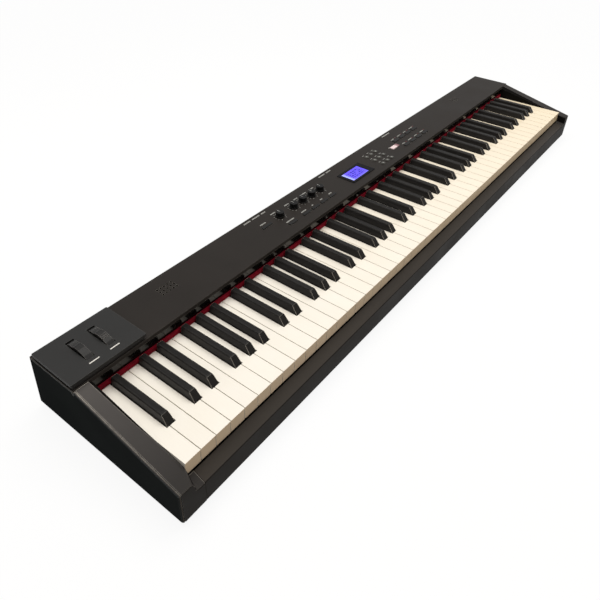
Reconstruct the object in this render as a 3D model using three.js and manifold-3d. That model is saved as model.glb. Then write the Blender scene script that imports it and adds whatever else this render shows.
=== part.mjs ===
import * as THREE from "three";
import { mergeVertices } from "three/addons/utils/BufferGeometryUtils.js";
import Module from "manifold-3d";

// A stage piano with 88 weighted keys, two wheels, five knobs and rows of small buttons.
// All sizes are millimetres. X runs along the keyboard to the player's right, Y from the
// player to the rear and Z up. The origin lies on the resting surface, under the middle
// of the case. The pieces are drawn in the keyboard's own frame: X from the left end of
// the lowest key, Y from the fronts of the naturals and Z from the tops of the naturals.

// Keyboard
const natural_pitch = 23.6;
const natural_count = 52;
const natural_gap = 1;
const natural_visible_length = 147.3;
const natural_front_height = 20.7;
const natural_lip_thickness = 2.5;
const natural_lip_overhang = 1;
const key_wall = 2;
const key_top_wall = 2.5;
const sharp_width = 11.5;
const sharp_top_width = 9.6;
const sharp_shoulder = 1.3;
const sharp_height = 12;
const sharp_front = 49.6;
const sharp_front_slope = 8.4;
const sharp_front_rounding = 5;
const sharp_foot_rise = 0.5;
const sharp_body_depth = 16;
const sharp_clearance = 1;
const sharp_to_felt = 1.5;
// How far each sharp lies right of the line between its two naturals, in shares of the pitch
const sharp_offset_shares = { A: 0.11, C: -0.102, D: 0.106, F: -0.148, G: 0 };

// Key hinge
const hinge_to_sockets = 1.15;
const hinge_drop = 12;
const rod_radius = 2;
const rod_clearance = 0.35;
const hook_radius = 5;
const hook_nose = 3;
const hook_width = 8;
const hook_mouth_angle = 40;
const body_under_lip = 2.7;
const tail_slope_share = 0.295;
const natural_tail_drop = 14;
const sharp_tail_drop = 4;
const sharp_tail_height = 6;
const strip_depth = 10;
const hook_neck = 3;
const post_width = 2.2;
const key_to_post_gap = 0.8;
const pocket_rear_wall = 10;

// Case
const side_block_width = 26;
const case_depth = 262;
const foot_height = 8;
const foot_radius = 12;
const foot_toe_in = 1;
const foot_from_end = 130;
const foot_from_edge = 36;
const key_top_height = 68.3;
const case_wall = 2.6;
const floor_thickness = 3;
const seat_gap = 0.3;
const slip_depth = 17.75;
const slip_to_key_gap = 0.9;
const slip_crease_drop = 28;
const slip_rise = 6.6;
const slip_edge_radius = 1.5;
const cheek_front_drop = 10.95;
const cheek_rear_rise = 26.8;
const cheek_corner_radius = 3.5;
const cheek_top_radius = 3;
const cheek_run_out = 9.5;
const cheek_narrowing = 4.2;
const cheek_shoulder_radius = 7.5;
const cheek_foot_radius = 8;
const cheek_edge = 0.5;
const cheek_chamfer = 4.9;
// The inner top edge's chamfer widens to the rear: shares of the cheek's length, and of the full chamfer
const cheek_chamfer_place_shares = [0, 0.28, 0.51, 1];
const cheek_chamfer_width_shares = [0.1, 0.14, 0.63, 1];
const cheek_top_wall = 5.2;
const cheek_pocket_inset = 8;
const cheek_pocket_drop = 20;
const seam_from_edge = 3;
const seam_width = 1;
const seam_depth = 1;
const rear_lean = 12.25;

// Top panel
const panel_rise = 28;
const panel_sheet = 2.5;
const lip_sheet = 1.8;
const lip_height = 6;
const lip_setback = 0.7;
const panel_edge_radius = 0.8;
const felt_thickness = 2.5;
const felt_height = 7.7;
const felt_clearance = 0.8;
const fallboard_sheet = 2.5;

// Wheels and their plate
const plate_rise = 9;
const plate_slab = 4;
const plate_length = 107.5;
const plate_depth_share = 0.917;
const plate_inset = 2;
const plate_wall = 2;
const plate_corner_radius = 1.5;
const plate_land = 1.8;
const wheel_slot_width = 11.6;
const wheel_slot_gap = 0.6;
const wheel_place_share = 0.516;
const pitch_wheel_from_left = 14.3;
const wheel_spacing = 30.1;
const wheel_width = 10.2;
const wheel_radius = 32.97647;
const wheel_poke = 5.5;
const wheel_rim = 5;
const wheel_hub_radius = 5.5;
const wheel_groove_radius = 9;
const wheel_groove_depth = 1.6;
const wheel_rib_height = 0.7;
const wheel_rib_width = 1.4;
// Angles of the wheels in degrees, from straight up
const pitch_wheel_angle = 75;
const modulation_wheel_front_angle = 105;
const modulation_wheel_rear_angle = 45;
const wheel_groove_angle = 14;
const wheel_rib_angles = [-19, -14, -9];
const shaft_radius = 3;
const shaft_clearance = 0.35;
const bracket_wall = 2;
const bracket_flange = 2.5;
const bracket_web = 3;
const bracket_side_gap = 1.5;
const bracket_slot_gap = 1.2;
const bracket_toe = 12;
const bracket_below_shaft = 6;

// Controls on the panel, placed from the left end of the keys. Rows, and the sizes that must fit
// between the lip and the rear edge, are shares of the panel's depth.
const front_row_share = 0.262;
const middle_row_share = 0.4167;
const power_row_share = 0.56;
const knob_row_share = 0.589;
const cursor_row_pitch_share = 0.22;
const tone_row_pitch_share = 0.31;
const bezel_depth_share = 0.452;
const cap_rise = 1.5;
const cap_gap = 0.3;
const button_travel = 0.6;
const comb_bar = 1.7;
const comb_bar_width = 3;
const comb_drop = 3;
const level_knob_from_left = 402.8;
const tone_knobs_from_left = 439.4;
const tone_knob_pitch = 24.7;
const tone_knob_count = 4;
const knob_height = 9;
const knob_radius = 6.8;
const knob_skirt_radius = 7.7;
const knob_skirt_height = 1.8;
const knob_flute_depth = 0.5;
const knob_flute_count = 10;
const knob_pointer_width = 1;
const knob_pointer_depth = 0.6;
const knob_lift = 0.4;
const stem_radius = 3;
const stem_clearance = 0.5;
const power_button_from_left = 367.5;
const power_button_width = 23;
const power_button_depth = 5;
const function_cap_width = 19;
const function_cap_depth = 5;
const cursor_from_left = 674;
const cursor_column_count = 3;
const cursor_row_count = 3;
const cursor_column_pitch = 16;
const cursor_cap_radius = 4;
const lit_button_from_left = 750;
const lit_button_width = 24;
const lit_button_depth = 9;
const tone_from_left = 778;
const tone_column_count = 4;
const tone_row_count = 2;
const tone_column_pitch = 25;
const tone_cap_width = 19;
const tone_cap_depth = 7;
const display_from_left = 608;
const display_width = 50;
const display_shift = 3;
const bezel_width = 70;
const bezel_frame = 5.5;
const bezel_rise = 1.2;
const bezel_flange = 2;
const bezel_ledge = 1.5;
const bezel_corner_radius = 1;
const lens_thickness = 3;
const lens_recess = 0.4;

// Grilles and speakers
const grille_from_end = 163.1;
const grille_place_share = 0.646;
const grille_column_count = 5;
const grille_row_count = 3;
const grille_column_pitch = 6.2;
const grille_row_pitch = 6.4;
const grille_hole_radius = 1.65;
const speaker_size_share = 0.286;
const speaker_height = 18;
// The cut through a speaker from the dust cap outwards: shares of its radius and its height
const speaker_radius_shares = [0, 0.22, 0.3, 0.86, 0.87, 1, 1, 0.88, 0.5, 0.58, 0.58, 0];
const speaker_height_shares = [-0.25, -0.3, -0.42, -0.08, 0, 0, -0.09, -0.09, -0.62, -0.62, -1, -1];

// Boards, chassis and rear sockets
const board_sheet = 1.6;
const board_drop = 14.4;
const board_margin = 12;
const board_from_fallboard = 2;
const board_from_rear = 4.8;
const board_post_radius = 3;
const pot_size = 12;
const pot_height = 6;
const pot_engagement = 3.4;
const switch_width = 6;
const switch_depth = 4;
const chassis_wall = 2.5;
const chassis_front = 8;
const chassis_front_drop = 34;
const chassis_rear_drop = 25.5;
const chassis_flat_behind_body = 10;
const chassis_behind_posts = 2;
const chassis_to_sockets = 7.15;
const chassis_rib_spacing = 112;
const guide_width = 4;
const guide_depth = 5;
const natural_guide_from_front = 14;
const natural_guide_drop = 15;
const sharp_guide_from_front = 15;
const sharp_guide_drop = 9;
const post_foot = 14;
const socket_from_left = 316;
const socket_pitch = 28;
const socket_count = 6;
const socket_block = 14;
const socket_block_depth = 24;
const socket_bore_radius = 3.4;
const socket_bore_depth = 21;
const socket_collar_radius = 5.4;
const socket_collar_rise = 1;
const socket_drop = 30;
const port_from_left = 556;
const port_pitch = 24;
const port_width = 13;
const port_height = 8;
const port_mouth_width = 10;
const port_mouth_height = 5.2;
const port_mouth_depth = 16;
const port_count = 2;
const inlet_from_left = 786;
const inlet_width = 29;
const inlet_height = 21;
const inlet_depth = 21;
const inlet_wall = 2.2;
const inlet_recess_depth = 16;
const inlet_pin_width = 2;
const inlet_pin_height = 4;
const inlet_pin_length = 10;
const inlet_pin_spacing = 7;
const inlet_rise_share = 0.2186;

// Steps of rounded forms, and the overrun of a cut past the face that it opens
const fillet_steps = 4;
const cheek_fillet_steps = 6;
const chamfer_steps = 1;
const sharp_fillet_steps = 2;
const round_sides = 10;
const small_round_sides = 8;
const hexagon_sides = 6;
const smooth_round_sides = 16;
const wheel_arc_steps = 16;
const hook_arc_steps = 5;
const overrun = 1;
const weld = 0.002;

const keyboard_width = natural_count * natural_pitch;
const case_front = -slip_depth;
const case_rear = case_depth - slip_depth;
const base = foot_height - key_top_height;
const floor_top = base + floor_thickness;
const panel_under = panel_rise - panel_sheet;
const block_top = panel_under - seat_gap;
const lip_front = natural_visible_length + lip_setback;
const lip_under = panel_rise - lip_height;
const lip_rear = lip_front + lip_sheet;
const fallboard_front = lip_rear + seat_gap;
const fallboard_rear = fallboard_front + fallboard_sheet;
const panel_depth = case_rear - rear_lean - lip_front;
const cheek_rear = lip_front - seat_gap;
const cheek_slope = (cheek_rear_rise + cheek_front_drop) / (lip_front - case_front);
const case_left = -side_block_width;
const case_right = keyboard_width + side_block_width;
const front_row = front_row_share * panel_depth;
const middle_row = middle_row_share * panel_depth;
const power_row = power_row_share * panel_depth;
const knob_row = knob_row_share * panel_depth;
const grille_from_lip = grille_place_share * panel_depth;
const speaker_radius = speaker_size_share * panel_depth;
const bezel_depth = bezel_depth_share * panel_depth;
const display_depth = bezel_depth - 2 * bezel_frame;
const socket_front = rear_face_y(-socket_drop) - case_wall - seat_gap - socket_block_depth;
const hinge_y = socket_front - hinge_to_sockets;
const hinge_z = -hinge_drop;
const comb_rear = hinge_y - hook_radius - hook_neck;
const comb_front = comb_rear - strip_depth;
const body_end = natural_visible_length + body_under_lip;
const tail_start = THREE.MathUtils.lerp(body_end, comb_front, tail_slope_share);
const board_top = panel_rise - board_drop;
const inlet_z = THREE.MathUtils.lerp(base, panel_rise, inlet_rise_share);

const degrees = THREE.MathUtils.degToRad;

const wasm = await Module();
wasm.setup();

// Turns a closed geometry into a solid that can be joined and cut
function solid(geometry) {
  const bare = geometry.clone();
  bare.deleteAttribute("normal");
  bare.deleteAttribute("uv");
  const welded = mergeVertices(bare);
  return new wasm.Manifold(new wasm.Mesh({
    numProp: 3,
    vertProperties: new Float32Array(welded.attributes.position.array),
    triVerts: new Uint32Array(welded.index.array),
  }));
}

function join(bodies) {
  return bodies.reduce((sum, body) => sum.add(body));
}

function cut(body, tools) {
  return tools.reduce((rest, tool) => rest.subtract(tool), body);
}

// A closed outline from corners [across, up, fillet radius, fillet steps]. A fillet is an arc that touches
// both sides of its corner, no longer than half of each side.
function outline(corners) {
  const places = corners
    .map(([across, up, radius = 0, steps = fillet_steps]) => ({
      point: new THREE.Vector2(across, up), radius, steps }))
    .filter((place, i, all) => !place.point.equals(all[(i + 1) % all.length].point));
  const points = [];
  places.forEach(({ point, radius, steps }, i) => {
    if (radius === 0) {
      points.push(point);
      return;
    }
    const back = places.at(i - 1).point.clone().sub(point);
    const ahead = places[(i + 1) % places.length].point.clone().sub(point);
    const half_angle = Math.acos(back.dot(ahead) / (back.length() * ahead.length())) / 2;
    const reach = Math.min(radius / Math.tan(half_angle), back.length() / 2, ahead.length() / 2);
    const start = point.clone().addScaledVector(back.normalize(), reach);
    const end = point.clone().addScaledVector(ahead.normalize(), reach);
    const centre = point.clone().addScaledVector(
      back.clone().add(ahead).normalize(), reach / Math.cos(half_angle));
    const first = start.clone().sub(centre);
    const turn = Math.atan2(first.cross(end.clone().sub(centre)), first.dot(end.clone().sub(centre)));
    for (let step = 0; step <= steps; step += 1) {
      points.push(first.clone().rotateAround(new THREE.Vector2(), turn * step / steps).add(centre));
    }
  });
  return points;
}

// Points on an arc, angles from the first axis towards the second
function arc(centre, radius, from, to, steps) {
  return Array.from({ length: steps + 1 }, (unused, step) => {
    const angle = THREE.MathUtils.lerp(from, to, step / steps);
    return [centre[0] + radius * Math.cos(angle), centre[1] + radius * Math.sin(angle)];
  });
}

function circle(centre, radius, sides) {
  return arc(centre, radius, 0, 2 * Math.PI, sides).slice(0, sides);
}

// A bore whose flats stay clear of a round of this radius
function bore(centre, clear_radius, sides) {
  return circle(centre, clear_radius / Math.cos(Math.PI / sides), sides);
}

function extruded(corners, depth) {
  return new THREE.ExtrudeGeometry(new THREE.Shape(outline(corners)), { depth, bevelEnabled: false });
}

// Outline in X and Y, raised along Z
function prism_z(corners, low, high) {
  return solid(extruded(corners, high - low).translate(0, 0, low));
}

// Outline in Y and Z, run along X
function prism_x(corners, left, right) {
  const turn = new THREE.Matrix4().makeBasis(
    new THREE.Vector3(0, 1, 0), new THREE.Vector3(0, 0, 1), new THREE.Vector3(1, 0, 0));
  return solid(extruded(corners, right - left).applyMatrix4(turn).translate(left, 0, 0));
}

// Outline in X and Z, run along Y
function prism_y(corners, front, rear) {
  const turn = new THREE.Matrix4().makeBasis(
    new THREE.Vector3(1, 0, 0), new THREE.Vector3(0, 0, 1), new THREE.Vector3(0, -1, 0));
  return solid(extruded(corners, rear - front).applyMatrix4(turn).translate(0, rear, 0));
}

function box(left, right, front, rear, low, high) {
  const geometry = new THREE.BoxGeometry(right - left, rear - front, high - low);
  return solid(geometry.translate((left + right) / 2, (front + rear) / 2, (low + high) / 2));
}

// A block with its middle at (x, y)
function block(x, y, width, depth, low, high) {
  return box(x - width / 2, x + width / 2, y - depth / 2, y + depth / 2, low, high);
}

// The same body with its corners moved
function reshaped(body, move) {
  const mesh = body.getMesh();
  const vertices = Float32Array.from(mesh.vertProperties);
  const corner = new THREE.Vector3();
  for (let i = 0; i < vertices.length; i += 3) {
    move(corner.fromArray(vertices, i));
    corner.toArray(vertices, i);
  }
  return new wasm.Manifold(new wasm.Mesh({
    numProp: 3, vertProperties: vertices, triVerts: Uint32Array.from(mesh.triVerts) }));
}

// A body along Y whose outline in X and Z changes, point by point, from the front to the rear
function lofted(front_corners, rear_corners, front, rear) {
  const starts = outline(front_corners);
  const ends = outline(rear_corners);
  return reshaped(prism_y(front_corners, front, rear), (corner) => {
    const place = new THREE.Vector2(corner.x, corner.z);
    const end = ends[starts.findIndex((start) => start.distanceTo(place) < weld)];
    if (corner.y > (front + rear) / 2) {
      corner.set(end.x, corner.y, end.y);
    }
  });
}

// The same body mirrored from the left end of the case to the right end
function mirrored(body) {
  const mesh = body.getMesh();
  const vertices = Float32Array.from(mesh.vertProperties, (value, i) => (
    i % 3 === 0 ? keyboard_width - value : value));
  const triangles = Uint32Array.from(mesh.triVerts).reverse();
  return new wasm.Manifold(new wasm.Mesh({ numProp: 3, vertProperties: vertices, triVerts: triangles }));
}

const piano = new THREE.Group();
const keyboard_frame = new THREE.Group();
keyboard_frame.position.set(-keyboard_width / 2, -case_depth / 2 + slip_depth, key_top_height);
piano.add(keyboard_frame);

function finish(color, roughness, metalness = 0) {
  return new THREE.MeshStandardMaterial({ color, roughness, metalness });
}

const black_paint = finish(0x2f2d2b, 0.5);
const panel_metal = finish(0x3a3836, 0.45, 0.3);
const plate_plastic = finish(0x3e3e3d, 0.5);
const gloss_black = finish(0x0c0c0c, 0.15);
const red_felt = finish(0x6b0014, 0.95);
const ivory_white = finish(0xf4f0e6, 0.35);
const sharp_black = finish(0x242322, 0.45);
const control_black = finish(0x1d1d1d, 0.5);
const control_grey = finish(0x4b4a49, 0.5);
const lit_red = finish(0xd89a9a, 0.4);
const display_blue = finish(0x5a4cf0, 0.2);
const rubber = finish(0x1a1a1a, 0.9);
const steel = finish(0xa8a8a8, 0.35, 1);
const chassis_plastic = finish(0x4a4a4c, 0.6);
const board_green = finish(0x1e4a2c, 0.6);
const speaker_cone = finish(0x202022, 0.8);

// Flat faces that the joins split become one again before the piece is drawn
function add_piece(name, body, material) {
  const mesh = body.asOriginal().simplify(weld).getMesh();
  const geometry = new THREE.BufferGeometry();
  geometry.setAttribute("position", new THREE.BufferAttribute(new Float32Array(mesh.vertProperties), 3));
  geometry.setIndex(new THREE.BufferAttribute(new Uint32Array(mesh.triVerts), 1));
  geometry.computeVertexNormals();
  const piece = new THREE.Mesh(geometry, material);
  piece.name = name;
  keyboard_frame.add(piece);
}

// Case

// The rear face leans back from the panel's rear edge to the floor
function rear_face_y(z) {
  return case_rear - rear_lean * (z - base) / (panel_rise - base);
}

function cheek_z(y) {
  return cheek_slope * (y - case_front) - cheek_front_drop;
}

// The outline of the end block beside the slip, where its inner side falls in an S to the ledge
function slip_section(y, drop) {
  const mix = (front, rear) => THREE.MathUtils.mapLinear(y, case_front, -slip_to_key_gap, front, rear);
  const ledge = mix(-slip_crease_drop, slip_rise - slip_crease_drop) - drop;
  const top = cheek_z(y) - drop;
  const inner = mix(-seat_gap - cheek_narrowing, -seat_gap);
  return [
    [case_left, base],
    [cheek_run_out, base],
    [cheek_run_out, ledge],
    [inner, ledge, mix(cheek_foot_radius, cheek_edge), cheek_fillet_steps],
    [inner, top, mix(cheek_shoulder_radius, cheek_edge), cheek_fillet_steps],
    [case_left, top, cheek_top_radius],
  ];
}

// The outline beside the keys, with the chamfer on its inner top edge
function cheek_section(y, chamfer) {
  return [
    [case_left, base],
    [-seat_gap, base],
    [-seat_gap, cheek_z(y) - chamfer],
    [-seat_gap - chamfer, cheek_z(y)],
    [case_left, cheek_z(y), cheek_top_radius],
  ];
}

// The end block's upper part in front of the panel. The front edge is rounded in two steps.
function cheek() {
  const front_end = -slip_to_key_gap;
  const bend = slip_edge_radius * (1 - Math.SQRT1_2);
  const slip_places = [
    [case_front, slip_edge_radius],
    [case_front + bend, bend],
    [case_front + slip_edge_radius, 0],
    [front_end, 0],
  ];
  const places = cheek_chamfer_place_shares.map((share, i) => [
    THREE.MathUtils.lerp(front_end, cheek_rear, share), cheek_chamfer * cheek_chamfer_width_shares[i]]);
  const lofts = (section, stations) => stations.slice(1).map(([y, size], i) => {
    const [before, size_before] = stations[i];
    return lofted(section(before, size_before), section(y, size), before, y);
  });
  const corner = prism_z([
    [case_left, case_front, cheek_corner_radius],
    [cheek_run_out, case_front],
    [cheek_run_out, cheek_rear],
    [case_left, cheek_rear],
  ], base, panel_rise);
  return join([...lofts(slip_section, slip_places), ...lofts(cheek_section, places)]).intersect(corner);
}

// The outer shell's edge shows as a fine groove in the front and along the top
function seam() {
  const left = case_left + seam_from_edge - seam_width / 2;
  const right = left + seam_width;
  const upright = box(
    left, right, case_front - overrun, case_front + seam_depth, base - overrun, panel_rise);
  const along = box(left, right, case_front, cheek_rear + overrun, -seam_depth, overrun);
  return [upright, reshaped(along, (corner) => corner.setZ(corner.z + cheek_z(corner.y)))];
}

function left_end_block() {
  const under_lip = lip_under - seat_gap;
  const rear_part = prism_x([
    [cheek_rear - overrun, base],
    [rear_face_y(base), base],
    [rear_face_y(block_top), block_top],
    [fallboard_front, block_top],
    [fallboard_front, under_lip],
    [cheek_rear - overrun, under_lip],
  ], case_left, -seat_gap);
  const pocket_front = case_wall - slip_to_key_gap;
  const pocket = prism_x([
    [pocket_front, base - overrun],
    [rear_face_y(base - overrun) - case_wall, base - overrun],
    [rear_face_y(block_top - case_wall) - case_wall, block_top - case_wall],
    [fallboard_front + case_wall, block_top - case_wall],
    [fallboard_front + case_wall, under_lip - case_wall],
    [cheek_rear - case_wall, under_lip - case_wall],
    [pocket_front, cheek_z(pocket_front) - cheek_top_wall],
  ], case_left + case_wall, -seat_gap - case_wall);
  const front_pocket = box(
    case_left + case_wall, -cheek_pocket_inset,
    case_front + case_wall, pocket_front + overrun, base - overrun, -cheek_pocket_drop);
  const floor_slot = box(
    -seat_gap - case_wall - overrun, overrun,
    pocket_front, rear_face_y(base) - case_wall, base - overrun, floor_top + seat_gap);
  return cut(cheek().add(rear_part), [pocket, front_pocket, floor_slot, ...seam()]);
}

function front_rail() {
  const outer = prism_x([
    [case_front, base],
    [-slip_to_key_gap, base],
    [-slip_to_key_gap, slip_rise - slip_crease_drop],
    [case_front, -slip_crease_drop, slip_edge_radius],
  ], cheek_run_out + seat_gap, keyboard_width - cheek_run_out - seat_gap);
  const hollow = box(
    -overrun, keyboard_width + overrun,
    case_front + case_wall, -slip_to_key_gap - case_wall,
    base - overrun, -slip_crease_drop - case_wall);
  return outer.subtract(hollow);
}

function bottom_case() {
  const left = case_left + case_wall + seat_gap;
  const inner = seat_gap;
  const front = -slip_to_key_gap + seat_gap;
  const block_front = case_wall - slip_to_key_gap + seat_gap;
  const rear = rear_face_y(floor_top) - case_wall - seat_gap;
  return prism_z([
    [left, block_front],
    [inner, block_front],
    [inner, front],
    [keyboard_width - inner, front],
    [keyboard_width - inner, block_front],
    [keyboard_width - left, block_front],
    [keyboard_width - left, rear],
    [left, rear],
  ], base, floor_top);
}

function rear_panel() {
  const sheet = prism_x([
    [rear_face_y(base), base],
    [rear_face_y(block_top), block_top],
    [rear_face_y(block_top) - case_wall, block_top],
    [rear_face_y(base) - case_wall, base],
  ], 0, keyboard_width);
  const rear = case_rear + overrun;
  const front = rear_face_y(panel_rise) - case_wall - overrun;
  const holes = socket_places().map((x) => prism_y(
    bore([x, socket_z()], socket_collar_radius + seat_gap, small_round_sides), front, rear));
  const mouths = port_places().map((x) => prism_y(
    rectangle(x, socket_z(), port_width + 2 * seat_gap, port_height + 2 * seat_gap), front, rear));
  const inlet_hole = prism_y(rectangle(
    inlet_from_left, inlet_z, inlet_width + 2 * seat_gap, inlet_height + 2 * seat_gap), front, rear);
  return cut(sheet, [...holes, ...mouths, inlet_hole]);
}

function rectangle(x, y, width, depth, radius = 0) {
  return [
    [x - width / 2, y - depth / 2, radius],
    [x + width / 2, y - depth / 2, radius],
    [x + width / 2, y + depth / 2, radius],
    [x - width / 2, y + depth / 2, radius],
  ];
}

function foot() {
  const height = foot_height - seat_gap;
  return solid(new THREE.LatheGeometry([
    new THREE.Vector2(0, 0),
    new THREE.Vector2(foot_radius - foot_toe_in, 0),
    new THREE.Vector2(foot_radius, height),
    new THREE.Vector2(0, height),
  ], smooth_round_sides).rotateX(Math.PI / 2));
}

add_piece("bottom_case", bottom_case(), black_paint);
add_piece("front_rail", front_rail(), black_paint);
add_piece("left_end_block", left_end_block(), black_paint);
add_piece("right_end_block", mirrored(left_end_block()), black_paint);
add_piece("rear_panel", rear_panel(), black_paint);
[
  ["front_left_foot", case_left + foot_from_end, case_front + foot_from_edge],
  ["front_right_foot", case_right - foot_from_end, case_front + foot_from_edge],
  ["rear_left_foot", case_left + foot_from_end, case_rear - foot_from_edge],
  ["rear_right_foot", case_right - foot_from_end, case_rear - foot_from_edge],
].forEach(([name, x, y]) => {
  add_piece(name, foot(), rubber);
  keyboard_frame.children.at(-1).position.set(x, y, -key_top_height);
});

// Controls: their places on the panel

function knob_places() {
  const tone_knobs = Array.from({ length: tone_knob_count }, (unused, i) => (
    tone_knobs_from_left + i * tone_knob_pitch));
  return [level_knob_from_left, ...tone_knobs];
}

function function_places() {
  return knob_places().map((x) => [x, lip_front + front_row]);
}

// Rows and columns of places round a middle line, from the left
function grid(left, middle, columns, rows, column_pitch, row_pitch) {
  const places = [];
  for (let row = 0; row < rows; row += 1) {
    for (let column = 0; column < columns; column += 1) {
      places.push([left + column * column_pitch, middle + (row - (rows - 1) / 2) * row_pitch]);
    }
  }
  return places;
}

function cursor_places() {
  return grid(cursor_from_left, lip_front + middle_row, cursor_column_count, cursor_row_count,
    cursor_column_pitch, cursor_row_pitch_share * panel_depth);
}

function tone_places() {
  return grid(tone_from_left, lip_front + middle_row, tone_column_count, tone_row_count,
    tone_column_pitch, tone_row_pitch_share * panel_depth);
}

function socket_places() {
  return Array.from({ length: socket_count }, (unused, i) => socket_from_left + i * socket_pitch);
}

function port_places() {
  return Array.from({ length: port_count }, (unused, i) => port_from_left + i * port_pitch);
}

function socket_z() {
  return -socket_drop - socket_block / 2;
}

// Top panel

function grille_holes(middle) {
  const left = middle - (grille_column_count - 1) / 2 * grille_column_pitch;
  return grid(left, lip_front + grille_from_lip, grille_column_count, grille_row_count,
    grille_column_pitch, grille_row_pitch)
    .map((place) => prism_z(circle(place, grille_hole_radius, small_round_sides),
      panel_under - overrun, panel_rise + overrun));
}

function wheel_places() {
  return [pitch_wheel_from_left, pitch_wheel_from_left + wheel_spacing];
}

const plate_depth = plate_depth_share * panel_depth;
const plate_top = panel_rise + plate_rise;
const plate_under = plate_top - plate_slab;
const wheel_y = lip_front + wheel_place_share * plate_depth;
const bracket_left = pitch_wheel_from_left - wheel_width / 2 - bracket_side_gap - bracket_wall;
const bracket_right = pitch_wheel_from_left + wheel_spacing + wheel_width / 2
  + bracket_side_gap + bracket_wall;
const flange_low = plate_under - seat_gap - bracket_flange;
const wheel_axis_z = plate_top + wheel_poke - wheel_radius;
// The bracket's flange leaves a web beyond the slot that the wheel needs at its underside
const wheel_half_chord = Math.sqrt(wheel_radius ** 2 - (flange_low - wheel_axis_z) ** 2);
const bracket_half_depth = wheel_half_chord + bracket_slot_gap + bracket_web;

// Half the depth of the wheel above this height
function wheel_reach(z) {
  return Math.sqrt(wheel_radius ** 2 - Math.max(0, z - wheel_axis_z) ** 2);
}

function top_panel() {
  const sheet = prism_x([
    [lip_front, lip_under],
    [lip_rear, lip_under],
    [lip_rear, panel_under],
    [rear_face_y(panel_rise), panel_under],
    [rear_face_y(panel_rise), panel_rise],
    [lip_front, panel_rise, panel_edge_radius],
  ], case_left, case_right);
  const low = panel_under - overrun;
  const high = panel_rise + overrun;
  const slots = (places, width, depth) => places.map(([x, y]) => (
    block(x, y, width + 2 * cap_gap, depth + 2 * cap_gap, low, high)));
  const rounds = (places, radius, sides) => places.map((place) => (
    prism_z(circle(place, radius, sides), low, high)));
  return cut(sheet, [
    ...grille_holes(grille_from_end),
    ...grille_holes(keyboard_width - grille_from_end),
    ...rounds(knob_places().map((x) => [x, lip_front + knob_row]),
      stem_radius + stem_clearance, small_round_sides),
    ...slots([[power_button_from_left, lip_front + power_row]], power_button_width, power_button_depth),
    ...slots(function_places(), function_cap_width, function_cap_depth),
    ...rounds(cursor_places(), cursor_cap_radius + cap_gap, round_sides),
    ...slots([[lit_button_from_left, lip_front + middle_row]], lit_button_width, lit_button_depth),
    ...slots(tone_places(), tone_cap_width, tone_cap_depth),
    ...slots([[display_from_left, lip_front + middle_row]],
      bezel_width - 2 * bezel_flange, bezel_depth - 2 * bezel_flange),
    box(bracket_left - overrun, bracket_right + overrun,
      wheel_y - bracket_half_depth - seat_gap, wheel_y + bracket_half_depth + seat_gap, low, high),
  ]);
}

add_piece("top_panel", top_panel(), panel_metal);
add_piece("fallboard_strip", box(
  seat_gap, keyboard_width - seat_gap, fallboard_front, fallboard_rear,
  felt_clearance, panel_under - seat_gap), gloss_black);
add_piece("felt_strip", box(
  seat_gap, keyboard_width - seat_gap, fallboard_front - seat_gap - felt_thickness,
  fallboard_front - seat_gap, felt_clearance, felt_clearance + felt_height), red_felt);

// Wheel plate, bracket and wheels

function wheel_plate() {
  const right = case_left + plate_length;
  const rear = lip_front + plate_depth;
  const slab = prism_z([
    [case_left, lip_front, plate_corner_radius],
    [right, lip_front, plate_corner_radius],
    [right, rear, plate_corner_radius],
    [case_left, rear, plate_corner_radius],
  ], plate_under, plate_top);
  const skirt = box(
    case_left + plate_inset, right - plate_inset, lip_front + plate_inset, rear - plate_inset,
    panel_rise + seat_gap, plate_under + overrun);
  const inside = plate_inset + plate_wall;
  const hollow = box(
    case_left + inside, right - inside, lip_front + inside, rear - inside,
    panel_rise - overrun, plate_under);
  const land = box(
    bracket_left, bracket_right, wheel_y - bracket_half_depth, wheel_y + bracket_half_depth,
    plate_under - overrun, plate_top - plate_land);
  const slot_length = 2 * (wheel_reach(plate_top - plate_land) + wheel_slot_gap);
  const slots = wheel_places().map((x) => (
    block(x, wheel_y, wheel_slot_width, slot_length, plate_under - overrun, plate_top + overrun)));
  return cut(slab.add(skirt), [hollow, land, ...slots]);
}

// Two tongues beside each wheel hang from a flange and carry the shaft
function wheel_bracket() {
  const top = plate_under - seat_gap;
  const flange = box(
    bracket_left, bracket_right, wheel_y - bracket_half_depth, wheel_y + bracket_half_depth,
    flange_low, top);
  const slots = wheel_places().map((x) => block(
    x, wheel_y, wheel_width + 2 * bracket_side_gap, 2 * (wheel_reach(flange_low) + bracket_slot_gap),
    flange_low - overrun, top + overrun));
  const low = wheel_axis_z - bracket_below_shaft;
  const tongue = (left) => prism_x([
    [wheel_y - bracket_toe / 2, low],
    [wheel_y + bracket_toe / 2, low],
    [wheel_y + bracket_half_depth, flange_low + overrun],
    [wheel_y - bracket_half_depth, flange_low + overrun],
  ], left, left + bracket_wall);
  const reach = wheel_width / 2 + bracket_side_gap;
  const tongues = wheel_places().flatMap((x) => [tongue(x - reach - bracket_wall), tongue(x + reach)]);
  const shaft_bore = prism_x(
    bore([wheel_y, wheel_axis_z], shaft_radius + shaft_clearance, small_round_sides),
    bracket_left - overrun, bracket_right + overrun);
  return cut(join([flange.subtract(join(slots)), ...tongues]), [shaft_bore]);
}

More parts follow.
